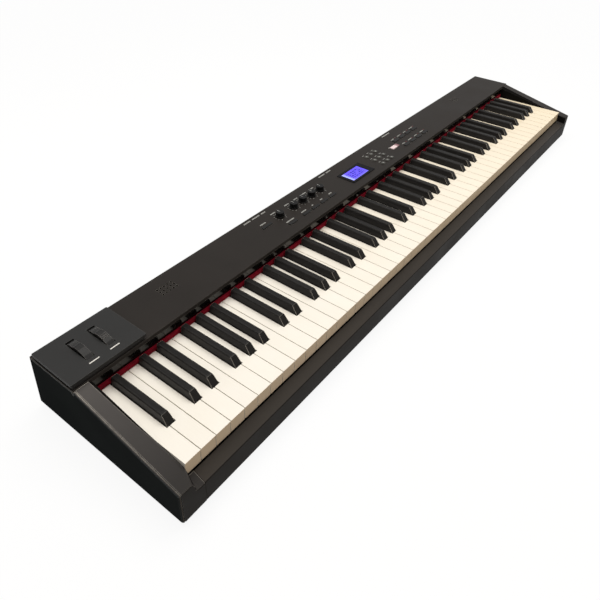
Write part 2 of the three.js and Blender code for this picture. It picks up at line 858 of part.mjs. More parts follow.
// A wheel is a fan of rim, web and hub with a groove behind its top and ribs before it
function wheel(x, front_span, rear_span, rib_angles) {
  const centre = [wheel_y, wheel_axis_z];
  const front_angle = degrees(front_span);
  const rear_angle = degrees(rear_span);
  const up = Math.PI / 2;
  const rim = prism_x([
    ...arc(centre, wheel_radius, up - rear_angle, up + front_angle, wheel_arc_steps),
    ...arc(centre, wheel_radius - wheel_rim, up + front_angle, up - rear_angle, wheel_arc_steps / 2),
  ], x - wheel_width / 2, x + wheel_width / 2);
  const web = prism_x([
    ...arc(centre, wheel_radius - wheel_rim / 2, up - rear_angle, up + front_angle, wheel_arc_steps / 2),
    centre,
  ], x - wheel_width / 4, x + wheel_width / 4);
  const hub = prism_x(circle(centre, wheel_hub_radius, round_sides),
    x - wheel_width / 2, x + wheel_width / 2);
  const shaft_bore = prism_x(bore(centre, shaft_radius + shaft_clearance, small_round_sides),
    x - wheel_width, x + wheel_width);
  const place = (angle, radius) => [
    wheel_y + radius * Math.sin(angle), wheel_axis_z + radius * Math.cos(angle)];
  const ribs = rib_angles.map((angle) => prism_x(
    circle(place(degrees(angle), wheel_radius + wheel_rib_height - wheel_rib_width / 2),
      wheel_rib_width / 2, small_round_sides), x - wheel_width / 2, x + wheel_width / 2));
  const groove = prism_x(circle(
    place(degrees(wheel_groove_angle), wheel_radius + wheel_groove_radius - wheel_groove_depth),
    wheel_groove_radius, smooth_round_sides), x - wheel_width, x + wheel_width);
  return cut(join([rim, web, hub, ...ribs]), [shaft_bore, groove]);
}

const [pitch_x, modulation_x] = wheel_places();
add_piece("wheel_plate", wheel_plate(), plate_plastic);
add_piece("wheel_bracket", wheel_bracket(), chassis_plastic);
add_piece("wheel_shaft", prism_x(circle([wheel_y, wheel_axis_z], shaft_radius, round_sides),
  bracket_left, bracket_right), steel);
add_piece("pitch_wheel", wheel(pitch_x, pitch_wheel_angle, pitch_wheel_angle, []), control_black);
add_piece("modulation_wheel", wheel(
  modulation_x, modulation_wheel_front_angle, modulation_wheel_rear_angle, wheel_rib_angles), control_black);

// Knobs and buttons

function knob(x) {
  const y = lip_front + knob_row;
  const low = panel_rise + knob_lift;
  const flutes = Array.from({ length: 2 * knob_flute_count }, (unused, i) => {
    const radius = knob_radius - (i % 2) * knob_flute_depth;
    const angle = Math.PI * i / knob_flute_count;
    return [x + radius * Math.cos(angle), y + radius * Math.sin(angle)];
  });
  const skirt = prism_z(circle([x, y], knob_skirt_radius, smooth_round_sides), low, low + knob_skirt_height);
  const grip = prism_z(flutes, low, low + knob_height);
  const stem = prism_z(circle([x, y], stem_radius, small_round_sides),
    board_top + pot_height - pot_engagement, low + knob_skirt_height);
  const pointer = box(x - knob_pointer_width / 2, x + knob_pointer_width / 2, y, y + knob_radius + overrun,
    low + knob_height - knob_pointer_depth, low + knob_height + overrun);
  return cut(join([skirt, grip, stem]), [pointer]);
}

const cap_low = panel_under - comb_drop;
const cap_high = panel_rise + cap_rise;
const bar_high = cap_low + comb_bar;

// A cap with the foot that keeps it under the panel
function single_button(x, row, width, depth) {
  const y = lip_front + row;
  const foot_plate = block(x, y, width + comb_bar_width, depth + comb_bar_width, cap_low, bar_high);
  return block(x, y, width, depth, cap_low, cap_high).add(foot_plate);
}

// Bars from the first to the last column on each row, and one across the rows, join the caps
function comb(places, cap) {
  const xs = places.map(([x]) => x);
  const ys = [...new Set(places.map(([, y]) => y))];
  const left = Math.min(...xs);
  const right = Math.max(...xs);
  const bars = ys.map((y) => box(
    left, right, y - comb_bar_width / 2, y + comb_bar_width / 2, cap_low, bar_high));
  const across = [left, right].map((x) => box(
    x - comb_bar_width / 2, x + comb_bar_width / 2, Math.min(...ys), Math.max(...ys) + comb_bar_width / 2,
    cap_low, bar_high));
  return join([...bars, ...across, ...places.map(cap)]);
}

knob_places().forEach((x, i) => add_piece(`knob_${i + 1}`, knob(x), control_black));
add_piece("power_button", single_button(
  power_button_from_left, power_row, power_button_width, power_button_depth), control_grey);
add_piece("lit_button", single_button(
  lit_button_from_left, middle_row, lit_button_width, lit_button_depth), lit_red);
add_piece("function_buttons", comb(function_places(), ([x, y]) => (
  block(x, y, function_cap_width, function_cap_depth, cap_low, cap_high))), control_grey);
add_piece("cursor_buttons", comb(cursor_places(), (place) => (
  prism_z(circle(place, cursor_cap_radius, round_sides), cap_low, cap_high))), control_grey);
add_piece("tone_buttons", comb(tone_places(), ([x, y]) => (
  block(x, y, tone_cap_width, tone_cap_depth, cap_low, cap_high))), control_grey);

// Display

const bezel_top = panel_rise + bezel_rise;
const lens_x = display_from_left - display_shift;
const lens_y = lip_front + middle_row;

function display_bezel() {
  const flange = prism_z(
    rectangle(display_from_left, lens_y, bezel_width, bezel_depth, bezel_corner_radius),
    panel_rise + seat_gap, bezel_top);
  const collar = block(display_from_left, lens_y,
    bezel_width - 2 * (bezel_flange + seat_gap), bezel_depth - 2 * (bezel_flange + seat_gap),
    bezel_top - lens_recess - lens_thickness - bezel_ledge, panel_rise + bezel_rise / 2);
  const window_cut = block(lens_x, lens_y, display_width + 2 * seat_gap, display_depth + 2 * seat_gap,
    bezel_top - lens_recess - lens_thickness - seat_gap, bezel_top + overrun);
  const cable_hole = block(lens_x, lens_y, display_width - 2 * bezel_ledge, display_depth - 2 * bezel_ledge,
    panel_under - board_drop, bezel_top);
  return cut(flange.add(collar), [window_cut, cable_hole]);
}

add_piece("display_bezel", display_bezel(), gloss_black);
add_piece("display_lens", block(lens_x, lens_y, display_width, display_depth,
  bezel_top - lens_recess - lens_thickness, bezel_top - lens_recess), display_blue);

// Boards and speakers

function panel_board() {
  const left = power_button_from_left - power_button_width / 2 - board_margin;
  const right = tone_from_left + (tone_column_count - 1) * tone_column_pitch + tone_cap_width / 2
    + board_margin;
  const front = fallboard_rear + board_from_fallboard;
  const rear = rear_face_y(panel_rise) - case_wall - board_from_rear;
  const sheet = box(left, right, front, rear, board_top - board_sheet, board_top);
  const pots = knob_places().map((x) => {
    const place = [x, lip_front + knob_row];
    const well = prism_z(circle(place, stem_radius + stem_clearance, small_round_sides),
      board_top + pot_height - pot_engagement - stem_clearance, board_top + pot_height + overrun);
    return block(...place, pot_size, pot_size, board_top - board_sheet / 2, board_top + pot_height)
      .subtract(well);
  });
  const switch_top = cap_low - button_travel - seat_gap;
  const switches = [
    [power_button_from_left, lip_front + power_row],
    [lit_button_from_left, lip_front + middle_row],
    ...function_places(),
    ...cursor_places(),
    ...tone_places(),
  ].map(([x, y]) => block(x, y, switch_width, switch_depth, board_top - board_sheet / 2, switch_top));
  const edge = board_margin / 2;
  const posts = [left + edge, display_from_left - bezel_width / 2 - board_margin, right - edge]
    .flatMap((x) => [front + edge, rear - edge].map((y) => prism_z(
      circle([x, y], board_post_radius, hexagon_sides), board_top - board_sheet / 2,
      panel_under - seat_gap)));
  return join([sheet, ...pots, ...switches, ...posts]);
}

function speaker(x) {
  const points = speaker_radius_shares.map((share, i) => new THREE.Vector2(
    share * speaker_radius, speaker_height_shares[i] * speaker_height));
  const geometry = new THREE.LatheGeometry(points.reverse(), round_sides).rotateX(Math.PI / 2);
  return solid(geometry.translate(x, lip_front + grille_from_lip, panel_under - seat_gap));
}

add_piece("panel_board", panel_board(), board_green);
add_piece("left_speaker", speaker(grille_from_end), speaker_cone);
add_piece("right_speaker", speaker(keyboard_width - grille_from_end), speaker_cone);

// Rear sockets

function socket_board() {
  const front = socket_front;
  const face = front + socket_block_depth;
  const low = -socket_drop - socket_block;
  const left = socket_from_left - socket_block;
  const right = port_places().at(-1) + socket_block;
  const sheet = box(left, right, front, face, low - board_sheet, low);
  const blocks = socket_places().map((x) => box(
    x - socket_block / 2, x + socket_block / 2, front, face, low - board_sheet / 2, -socket_drop));
  const collar_rear = rear_face_y(socket_z()) + socket_collar_rise;
  const collars = socket_places().map((x) => prism_y(
    circle([x, socket_z()], socket_collar_radius, small_round_sides), face - overrun, collar_rear));
  const bores = socket_places().map((x) => prism_y(
    circle([x, socket_z()], socket_bore_radius, small_round_sides), face - socket_bore_depth,
    collar_rear + overrun));
  const ports = port_places().map((x) => join([
    prism_y(rectangle(x, socket_z(), port_width, port_height), front, rear_face_y(socket_z())),
    box(x - port_width / 2, x + port_width / 2, front, face, low - board_sheet / 2, socket_z()),
  ]));
  const mouths = port_places().map((x) => prism_y(
    rectangle(x, socket_z(), port_mouth_width, port_mouth_height),
    rear_face_y(socket_z()) - port_mouth_depth, collar_rear + overrun));
  const legs = [left, right].map((x) => prism_z(
    circle([x, (front + face) / 2], board_post_radius, hexagon_sides),
    floor_top + seat_gap, low - board_sheet / 2));
  return cut(join([sheet, ...blocks, ...collars, ...ports, ...legs]), [...bores, ...mouths]);
}

function power_inlet() {
  const low = inlet_z - inlet_height / 2;
  const high = inlet_z + inlet_height / 2;
  const rear = rear_face_y(low);
  const body = box(inlet_from_left - inlet_width / 2, inlet_from_left + inlet_width / 2,
    rear - inlet_depth, rear, low, high);
  const recess = box(
    inlet_from_left - inlet_width / 2 + inlet_wall, inlet_from_left + inlet_width / 2 - inlet_wall,
    rear - inlet_recess_depth, rear + overrun, low + inlet_wall, high - inlet_wall);
  const pins = [-inlet_pin_spacing, 0, inlet_pin_spacing].map((shift) => block(
    inlet_from_left + shift, rear - inlet_recess_depth + inlet_pin_length / 2 - overrun / 2,
    inlet_pin_width, inlet_pin_length + overrun,
    inlet_z - inlet_pin_height / 2, inlet_z + inlet_pin_height / 2));
  return join([body.subtract(recess), ...pins]);
}

add_piece("socket_board", socket_board(), board_green);
add_piece("power_inlet", power_inlet(), control_black);

// Keys

const octave_letters = ["C", "D", "E", "F", "G", "A", "B"];
const low_letter_count = 2;

function letter_of(i) {
  return octave_letters[(i - low_letter_count + octave_letters.length) % octave_letters.length];
}

function octave_of(i) {
  return Math.floor((i - low_letter_count) / octave_letters.length) + 1;
}

// A sharp stands between natural i and the next one
function has_sharp(i) {
  return i >= 0 && i < natural_count - 1 && letter_of(i) in sharp_offset_shares;
}

function sharp_x(i) {
  return natural_pitch * (i + 1 + sharp_offset_shares[letter_of(i)]);
}

// Posts of the chassis stand where one group of keys ends and the next begins
const group_starts = [0];
for (let octave = 2; octave <= octave_letters.length; octave += 1) {
  group_starts.push(low_letter_count + (octave - 1) * octave_letters.length);
}
const post_lines = [...group_starts, natural_count];

function post_x(line) {
  return THREE.MathUtils.clamp(line * natural_pitch, post_width / 2, keyboard_width - post_width / 2);
}

const hook_top = hinge_z + hook_radius;
const hook_under = hinge_z - hook_radius;
const sharp_tail_under = -sharp_tail_drop - sharp_tail_height;

// A hook that snaps onto the hinge rod, on a neck behind a tail or a comb's strip
function hook(left, right, neck_low, neck_high) {
  const seat = (rod_radius + rod_clearance) / Math.cos(Math.PI / hook_arc_steps);
  const mouth_angle = degrees(hook_mouth_angle);
  const mouth = seat * Math.sin(mouth_angle);
  return prism_x([
    [comb_rear - overrun, neck_low],
    [hinge_y - hook_radius, neck_low],
    [hinge_y - hook_radius, hook_under],
    [hinge_y + hook_nose, hook_under],
    [hinge_y + hook_radius, hinge_z - mouth],
    ...arc([hinge_y, hinge_z], seat, -mouth_angle, mouth_angle - 2 * Math.PI, hook_arc_steps),
    [hinge_y + hook_radius, hinge_z + mouth],
    [hinge_y + hook_nose, hook_top],
    [hinge_y - hook_radius, hook_top],
    [hinge_y - hook_radius, neck_high],
    [comb_rear - overrun, neck_high],
  ], left, right);
}

// Where natural i begins and ends at its front, at its neck beside the sharps and at its tail
function natural_edges(i) {
  const left = i * natural_pitch + natural_gap / 2;
  const right = (i + 1) * natural_pitch - natural_gap / 2;
  const beside = sharp_width / 2 + sharp_clearance;
  const from_post = post_width / 2 + key_to_post_gap;
  const neck_left = has_sharp(i - 1) ? sharp_x(i - 1) + beside : left;
  const neck_right = has_sharp(i) ? sharp_x(i) - beside : right;
  return {
    left,
    right,
    neck_left,
    neck_right,
    tail_left: post_lines.includes(i) ? post_x(i) + from_post : neck_left,
    tail_right: post_lines.includes(i + 1) ? post_x(i + 1) - from_post : neck_right,
  };
}

// A natural and the pocket that hollows it from below
function natural(i) {
  const edges = natural_edges(i);
  const neck_front = sharp_front - sharp_clearance;
  const plan = prism_z([
    [edges.left, 0],
    [edges.right, 0],
    [edges.right, neck_front],
    [edges.neck_right, neck_front],
    [edges.neck_right, tail_start],
    [edges.tail_right, tail_start],
    [edges.tail_right, comb_rear],
    [edges.tail_left, comb_rear],
    [edges.tail_left, tail_start],
    [edges.neck_left, tail_start],
    [edges.neck_left, neck_front],
    [edges.left, neck_front],
  ], -natural_front_height - overrun, overrun);
  const side = prism_x([
    [0, 0],
    [0, -natural_lip_thickness],
    [natural_lip_overhang, -natural_lip_thickness],
    [natural_lip_overhang, -natural_front_height],
    [comb_rear, -natural_front_height],
    [comb_rear, -natural_tail_drop],
    [tail_start, -natural_tail_drop],
    [body_end, 0],
  ], edges.left - overrun, edges.right + overrun);
  const low = -natural_front_height - overrun;
  const head_pocket = box(edges.left + key_wall, edges.right - key_wall,
    natural_lip_overhang + key_wall, neck_front - key_wall, low, -key_top_wall);
  const neck_pocket = box(edges.neck_left + key_wall, edges.neck_right - key_wall,
    neck_front - key_wall - overrun, body_end - pocket_rear_wall, low, -key_top_wall);
  return { body: plan.intersect(side), pocket: head_pocket.add(neck_pocket) };
}

// A sharp and the pocket that hollows it from below
function sharp(i) {
  const x = sharp_x(i);
  const half = sharp_width / 2;
  const half_top = sharp_top_width / 2;
  const section = prism_y([
    [x - half, -sharp_body_depth - overrun],
    [x + half, -sharp_body_depth - overrun],
    [x + half, sharp_foot_rise],
    [x + half_top, sharp_height, sharp_shoulder, chamfer_steps],
    [x - half_top, sharp_height, sharp_shoulder, chamfer_steps],
    [x - half, sharp_foot_rise],
  ], sharp_front - overrun, comb_rear + overrun);
  const cap_end = fallboard_front - seat_gap - felt_thickness - sharp_to_felt;
  const side = prism_x([
    [sharp_front, -sharp_body_depth],
    [body_end, -sharp_body_depth],
    [tail_start, sharp_tail_under],
    [comb_rear, sharp_tail_under],
    [comb_rear, -sharp_tail_drop],
    [cap_end, -sharp_tail_drop],
    [cap_end, sharp_height],
    [sharp_front + sharp_front_slope, sharp_height, sharp_front_rounding, sharp_fillet_steps],
    [sharp_front, sharp_foot_rise],
  ], x - sharp_width, x + sharp_width);
  const pocket = box(x - half + key_wall, x + half - key_wall,
    sharp_front + sharp_front_slope + key_wall, body_end - pocket_rear_wall,
    -sharp_body_depth - overrun, sharp_height - key_top_wall);
  return { body: section.intersect(side), pocket };
}

// A hollow natural with its own hook, and a group of solid ones moulded on a strip with two hooks
function single_natural(i) {
  const edges = natural_edges(i);
  const { body, pocket } = natural(i);
  return body.subtract(pocket).add(hook(edges.tail_left, edges.tail_right, hook_under, -natural_tail_drop));
}

function natural_group(naturals) {
  const left = natural_edges(naturals[0]).tail_left;
  const right = natural_edges(naturals.at(-1)).tail_right;
  return join([
    ...naturals.map((i) => natural(i).body),
    box(left, right, comb_front, comb_rear, -natural_front_height, -natural_tail_drop),
    hook(left, left + hook_width, hook_under, -natural_tail_drop),
    hook(right - hook_width, right, hook_under, -natural_tail_drop),
  ]);
}

// The same for the sharps, whose tails and strip lie above those of the naturals
function sharp_hook(i) {
  return hook(sharp_x(i) - hook_width / 2, sharp_x(i) + hook_width / 2, sharp_tail_under, hook_top);
}

function single_sharp(i) {
  const { body, pocket } = sharp(i);
  return body.subtract(pocket).add(sharp_hook(i));
}

function sharp_group(sharps) {
  const left = sharp_x(sharps[0]) - sharp_width / 2;
  const right = sharp_x(sharps.at(-1)) + sharp_width / 2;
  return join([
    ...sharps.map((i) => sharp(i).body),
    box(left, right, comb_front, comb_rear, sharp_tail_under, -sharp_tail_drop),
    sharp_hook(sharps[0]),
    sharp_hook(sharps.at(-1)),
  ]);
}

// The keys of the middle octave are hinged one by one, the others in groups of an octave or more
const single_octave_index = 4;
const single_naturals = Array.from({ length: natural_count }, (unused, i) => i)
  .filter((i) => octave_of(i) === single_octave_index);

group_starts.forEach((first, group) => {
  const last = (group_starts[group + 1] ?? natural_count) - 1;
  const members = Array.from({ length: last - first + 1 }, (unused, k) => first + k);
  const sharps = members.filter(has_sharp);
  const name = (i) => `${letter_of(i).toLowerCase()}${octave_of(i)}`;
  if (first === single_naturals[0]) {
    members.forEach((i) => add_piece(`key_${name(i)}`, single_natural(i), ivory_white));
    sharps.forEach((i) => add_piece(`key_${name(i)}_sharp`, single_sharp(i), sharp_black));
    return;
  }
  add_piece(`naturals_${name(first)}_to_${name(last)}`, natural_group(members), ivory_white);
  add_piece(`sharps_${name(sharps[0])}_to_${name(sharps.at(-1))}`, sharp_group(sharps), sharp_black);
});

// Key chassis with its guides and hinge posts

const chassis_flat_from = body_end + chassis_flat_behind_body;
const chassis_rear = hinge_y + post_foot / 2 + chassis_behind_posts;
const chassis_rear_wall = socket_front - chassis_to_sockets;
const chassis_middle_wall = (chassis_front + chassis_rear_wall) / 2;

function chassis_z(y) {
  const slope = (chassis_front_drop - chassis_rear_drop) / (chassis_flat_from - chassis_front);
  return Math.min(-chassis_rear_drop, -chassis_front_drop + slope * (y - chassis_front));
}

function key_chassis() {
  const low = floor_top + seat_gap;
  const shelf = prism_x([
    [chassis_front, -chassis_front_drop - chassis_wall],
    [chassis_flat_from, -chassis_rear_drop - chassis_wall],
    [chassis_rear, -chassis_rear_drop - chassis_wall],
    [chassis_rear, -chassis_rear_drop],
    [chassis_flat_from, -chassis_rear_drop],
    [chassis_front, -chassis_front_drop],
  ], 0, keyboard_width);
  const walls = [chassis_front, chassis_middle_wall, chassis_rear_wall - chassis_wall].map((y) => box(
    0, keyboard_width, y, y + chassis_wall, low, chassis_z(y) - chassis_wall / 2));
  const rib_count = Math.ceil(keyboard_width / chassis_rib_spacing);
  const ribs = Array.from({ length: rib_count + 1 }, (unused, i) => {
    const left = (keyboard_width - chassis_wall) * i / rib_count;
    return prism_x([
      [chassis_front, low],
      [chassis_rear_wall, low],
      [chassis_rear_wall, -chassis_rear_drop - chassis_wall / 2],
      [chassis_flat_from, -chassis_rear_drop - chassis_wall / 2],
      [chassis_front, -chassis_front_drop - chassis_wall / 2],
    ], left, left + chassis_wall);
  });
  const guide = (x, front, top) => box(
    x - guide_width / 2, x + guide_width / 2, front, front + guide_depth,
    chassis_z(front) - chassis_wall / 2, top);
  const natural_guides = single_naturals.map((i) => guide(
    (natural_edges(i).left + natural_edges(i).right) / 2, natural_guide_from_front, -natural_guide_drop));
  const sharp_guides = single_naturals.filter(has_sharp).map((i) => guide(
    sharp_x(i), sharp_front + sharp_guide_from_front, -sharp_guide_drop));
  const posts = post_lines.map((line) => prism_x([
    [hinge_y - post_foot / 2, -chassis_rear_drop - chassis_wall / 2],
    [hinge_y + post_foot / 2, -chassis_rear_drop - chassis_wall / 2],
    [hinge_y + hook_radius, hook_top],
    [hinge_y - hook_radius, hook_top],
  ], post_x(line) - post_width / 2, post_x(line) + post_width / 2));
  const rod_bore = prism_x(bore([hinge_y, hinge_z], rod_radius + rod_clearance, small_round_sides),
    -overrun, keyboard_width + overrun);
  return join([
    shelf, ...walls, ...ribs, ...natural_guides, ...sharp_guides, join(posts).subtract(rod_bore)]);
}

add_piece("key_chassis", key_chassis(), chassis_plastic);
add_piece("key_pivot_rod", prism_x(circle([hinge_y, hinge_z], rod_radius, round_sides),
  0, keyboard_width), steel);

export default piano;
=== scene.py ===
# %% [markdown]
# # A stage piano
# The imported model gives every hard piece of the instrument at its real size, in metres. This lesson
# adds what the eye needs: softened edges, finishes that start from the real materials, printed
# marks, screws and lamps, and the light and the camera of the photograph.

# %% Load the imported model
import math

import bmesh
import bpy
from mathutils import Matrix, Vector


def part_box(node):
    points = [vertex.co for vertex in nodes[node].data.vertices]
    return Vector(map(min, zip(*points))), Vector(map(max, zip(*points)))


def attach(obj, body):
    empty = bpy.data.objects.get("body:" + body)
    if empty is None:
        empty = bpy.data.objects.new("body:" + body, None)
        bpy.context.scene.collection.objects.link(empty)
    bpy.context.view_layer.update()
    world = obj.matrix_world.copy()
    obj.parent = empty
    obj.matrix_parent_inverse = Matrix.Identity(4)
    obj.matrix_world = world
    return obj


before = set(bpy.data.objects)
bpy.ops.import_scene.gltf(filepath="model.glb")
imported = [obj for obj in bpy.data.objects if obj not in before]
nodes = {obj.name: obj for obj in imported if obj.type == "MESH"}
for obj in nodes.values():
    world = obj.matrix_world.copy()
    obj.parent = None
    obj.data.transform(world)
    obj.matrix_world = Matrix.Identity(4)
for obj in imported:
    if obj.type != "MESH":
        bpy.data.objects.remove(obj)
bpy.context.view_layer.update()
MM = 0.001

# %% [markdown]
# ## Where the camera stands
# The photograph was taken from the low end of the keyboard, above the player's left shoulder, with
# a fairly wide lens close to the near corner. The three axes of the camera are built from its
# heading, its height angle and a small roll, so that each number says one thing. The lens is
# shifted, because the middle of the picture isn't where the camera points.

# %% Place the camera
HEADING, HEIGHT_ANGLE, ROLL = (math.radians(angle) for angle in (-52.77, 36.41, 1.39))
CAMERA_PLACE = (-0.83207, -0.41101, 0.60387)
SENSOR_WIDTH, LENS_LENGTH = 36, 34.68
LENS_SHIFT = (0.016, -0.0745)
towards_camera = Vector((
    math.sin(HEADING) * math.cos(HEIGHT_ANGLE),
    -math.cos(HEADING) * math.cos(HEIGHT_ANGLE),
    math.sin(HEIGHT_ANGLE)))
level_right = (-towards_camera).cross(Vector((0, 0, 1))).normalized()
level_up = level_right.cross(-towards_camera)
camera_right = math.cos(ROLL) * level_right + math.sin(ROLL) * level_up
camera_up = -math.sin(ROLL) * level_right + math.cos(ROLL) * level_up

scene = bpy.context.scene
camera_data = bpy.data.cameras.new("photo_camera")
camera = bpy.data.objects.new("photo_camera", camera_data)
scene.collection.objects.link(camera)
camera.matrix_world = Matrix.Translation(CAMERA_PLACE) @ Matrix(
    (camera_right, camera_up, towards_camera)).transposed().to_4x4()
camera_data.sensor_width = SENSOR_WIDTH
camera_data.lens = LENS_LENGTH
camera_data.shift_x, camera_data.shift_y = LENS_SHIFT
scene.camera = camera
scene.view_settings.view_transform = "Standard"
print("camera at", tuple(round(v, 3) for v in camera.matrix_world.translation))

# %% [markdown]
# ## Helpers for materials
# Colours are written as sRGB hex values, as a paint chart or a picture editor shows them, and the
# shader needs them linear. Every node is made by one function. Its settings are the node's own
# options, where it has one of that name, or else the values of its sockets.

# %% Colour and node helpers
def linear(hex_colour):
    channels = [int(hex_colour[i:i + 2], 16) / 255 for i in (1, 3, 5)]
    return (*(c / 12.92 if c <= 0.04045 else ((c + 0.055) / 1.055) ** 2.4 for c in channels), 1)


def add_node(tree, kind, settings=(), links=()):
    made = tree.nodes.new("ShaderNode" + kind)
    for name, value in dict(settings).items():
        if isinstance(name, str) and hasattr(made, name):
            setattr(made, name, value)
        else:
            made.inputs[name].default_value = value
    for socket, source in dict(links).items():
        tree.links.new(source, made.inputs[socket])
    return made


def new_material(name):
    material = bpy.data.materials.new(name)
    material.use_nodes = True
    material.node_tree.nodes.clear()
    return material, material.node_tree


def per(size_mm):
    """The scale of a noise whose grains are this many millimetres wide."""
    return 1 / (size_mm * MM)


print("mid grey #808080 is", round(linear("#808080")[0], 4), "in linear light")

# %% [markdown]
# ## Floor and background
# The photograph is cut out on white. The floor is a pale plain sheet whose own grey lights the
# instrument from below. The camera sees it almost white near the instrument, so that a faint shadow
# ties the feet to it, and pure white a few steps away. Rays that come off a gloss surface or through
# a clear one see the same white.

# %% Make the floor and the world
floor_mesh = bpy.data.meshes.new("studio_floor")
FLOOR_REACH = 30
FADE_START, FADE_END = 0.9, 3
corners = [(x * FLOOR_REACH, y * FLOOR_REACH, 0) for x, y in ((-1, -1), (1, -1), (1, 1), (-1, 1))]
floor_mesh.from_pydata(corners, [], [(0, 1, 2, 3)])
floor = bpy.data.objects.new("studio_floor", floor_mesh)
scene.collection.objects.link(floor)


def seen_or_mirrored(tree):
    path = add_node(tree, "LightPath")
    mirrored = add_node(tree, "Math", {"operation": "MAXIMUM"}, {
        0: path.outputs["Is Glossy Ray"], 1: path.outputs["Is Transmission Ray"]})
    return add_node(tree, "Math", {"operation": "MAXIMUM"}, {
        0: path.outputs["Is Camera Ray"], 1: mirrored.outputs[0]})


paper, tree = new_material("pale_studio_paper")
paper_grain = add_node(tree, "TexNoise", {"Scale": 3, "Detail": 2})
paper_tone = add_node(tree, "MapRange", {"To Min": 0.97, "To Max": 1}, {"Value": paper_grain.outputs[0]})
paper_colour = add_node(
    tree, "Mix", {"data_type": "RGBA", 6: (0, 0, 0, 1), 7: linear("#8f887e")},
    {0: paper_tone.outputs[0]})
seen = seen_or_mirrored(tree)
lit = add_node(tree, "BsdfDiffuse", {}, {"Color": paper_colour.outputs[2]})
bright = add_node(tree, "BsdfDiffuse", {"Color": (1, 1, 1, 1)})
white = add_node(tree, "Emission", {"Color": (1, 1, 1, 1), "Strength": 1})
from_object = add_node(tree, "VectorMath", {"operation": "LENGTH"},
                       {0: add_node(tree, "TexCoord").outputs["Object"]})
fade = add_node(
    tree, "MapRange", {"From Min": FADE_START, "From Max": FADE_END, "To Min": 0.9, "To Max": 1},
    {"Value": from_object.outputs["Value"]})
camera_floor = add_node(tree, "MixShader", {}, {
    "Fac": fade.outputs[0], 1: bright.outputs[0], 2: white.outputs[0]})
floor_mix = add_node(tree, "MixShader", {}, {
    "Fac": seen.outputs[0], 1: lit.outputs[0], 2: camera_floor.outputs[0]})
add_node(tree, "OutputMaterial", {}, {"Surface": floor_mix.outputs[0]})
floor_mesh.materials.append(paper)

world = bpy.data.worlds.new("studio_room")
world.use_nodes = True
tree = world.node_tree
tree.nodes.clear()
seen = seen_or_mirrored(tree)
room = add_node(tree, "Background", {"Color": linear("#d4d2cf"), "Strength": 0.5})
backdrop = add_node(tree, "Background", {"Color": (1, 1, 1, 1), "Strength": 1})
room_mix = add_node(tree, "MixShader", {}, {
    "Fac": seen.outputs[0], 1: room.outputs[0], 2: backdrop.outputs[0]})
add_node(tree, "OutputWorld", {}, {"Surface": room_mix.outputs[0]})
scene.world = world
print("floor", 2 * FLOOR_REACH, "m across")

# %% [markdown]
# ## Lamps
# One large soft lamp hangs over the keyboard, a little behind it, as a ceiling softbox would. It
# makes the tops bright and leaves the fronts in shade. A weak warm lamp stands low and far in front
# of the keys, towards their low end, and keeps the fronts from going black.

# %% Hang the lamps
def soft_lamp(name, place, target, size, watts, colour):
    data = bpy.data.lights.new(name, "AREA")
    data.shape = "RECTANGLE"
    data.size, data.size_y = size
    data.energy = watts
    data.color = linear(colour)[:3]
    lamp = bpy.data.objects.new(name, data)
    scene.collection.objects.link(lamp)
    lamp.location = place
    lamp.rotation_euler = (Vector(target) - Vector(place)).to_track_quat("-Z", "Y").to_euler()


soft_lamp("ceiling_softbox", (0.1, 0.25, 2.2), (0, 0.05, 0), (2.8, 1.4), 50, "#fffcf7")
soft_lamp("front_fill", (-0.5, -2.0, 0.7), (-0.1, 0, 0.05), (2.0, 1.0), 6, "#ffe9cf")

# %% [markdown]
# ## Moulded and painted finishes
# Most of the instrument is a dark plastic or a dark paint. What tells them apart is the size of
# their grain and how sharply they reflect, so one recipe serves them all: a fine grain that bumps
# the surface, a slow drift in roughness from handling, a touch of dust in the colour, and lighter
# edges, partly rubbed where a hand or a case lining passes and partly a painted highlight where the
# light catches them. The photograph shows the end blocks paler to the rear, where more light falls
# on them, so a painted sheen can lighten a colour along that way too.
# The lighter edges are found with a Bevel node: where a rounded normal leaves the face's own, there
# is an edge. The result runs from 0 on the flat to 1 on the edge.

# %% Find the edges of a surface
def edge_share(tree, radius_mm, strongest):
    smooth = add_node(tree, "Bevel", {"samples": 4, "Radius": radius_mm * MM})
    flat = add_node(tree, "NewGeometry")
    same = add_node(tree, "VectorMath", {"operation": "DOT_PRODUCT"},
                    {0: smooth.outputs[0], 1: flat.outputs["Normal"]})
    return add_node(tree, "MapRange", {"From Min": 0.99, "From Max": strongest, "To Min": 0, "To Max": 1},
                    {"Value": same.outputs["Value"]})


# %% A recipe for dark hard surfaces
DRIFT_MM, WEAR_SPOT_MM = 70, 9
SHEEN_FROM_Y, SHEEN_TO_Y = -0.115, 0.035


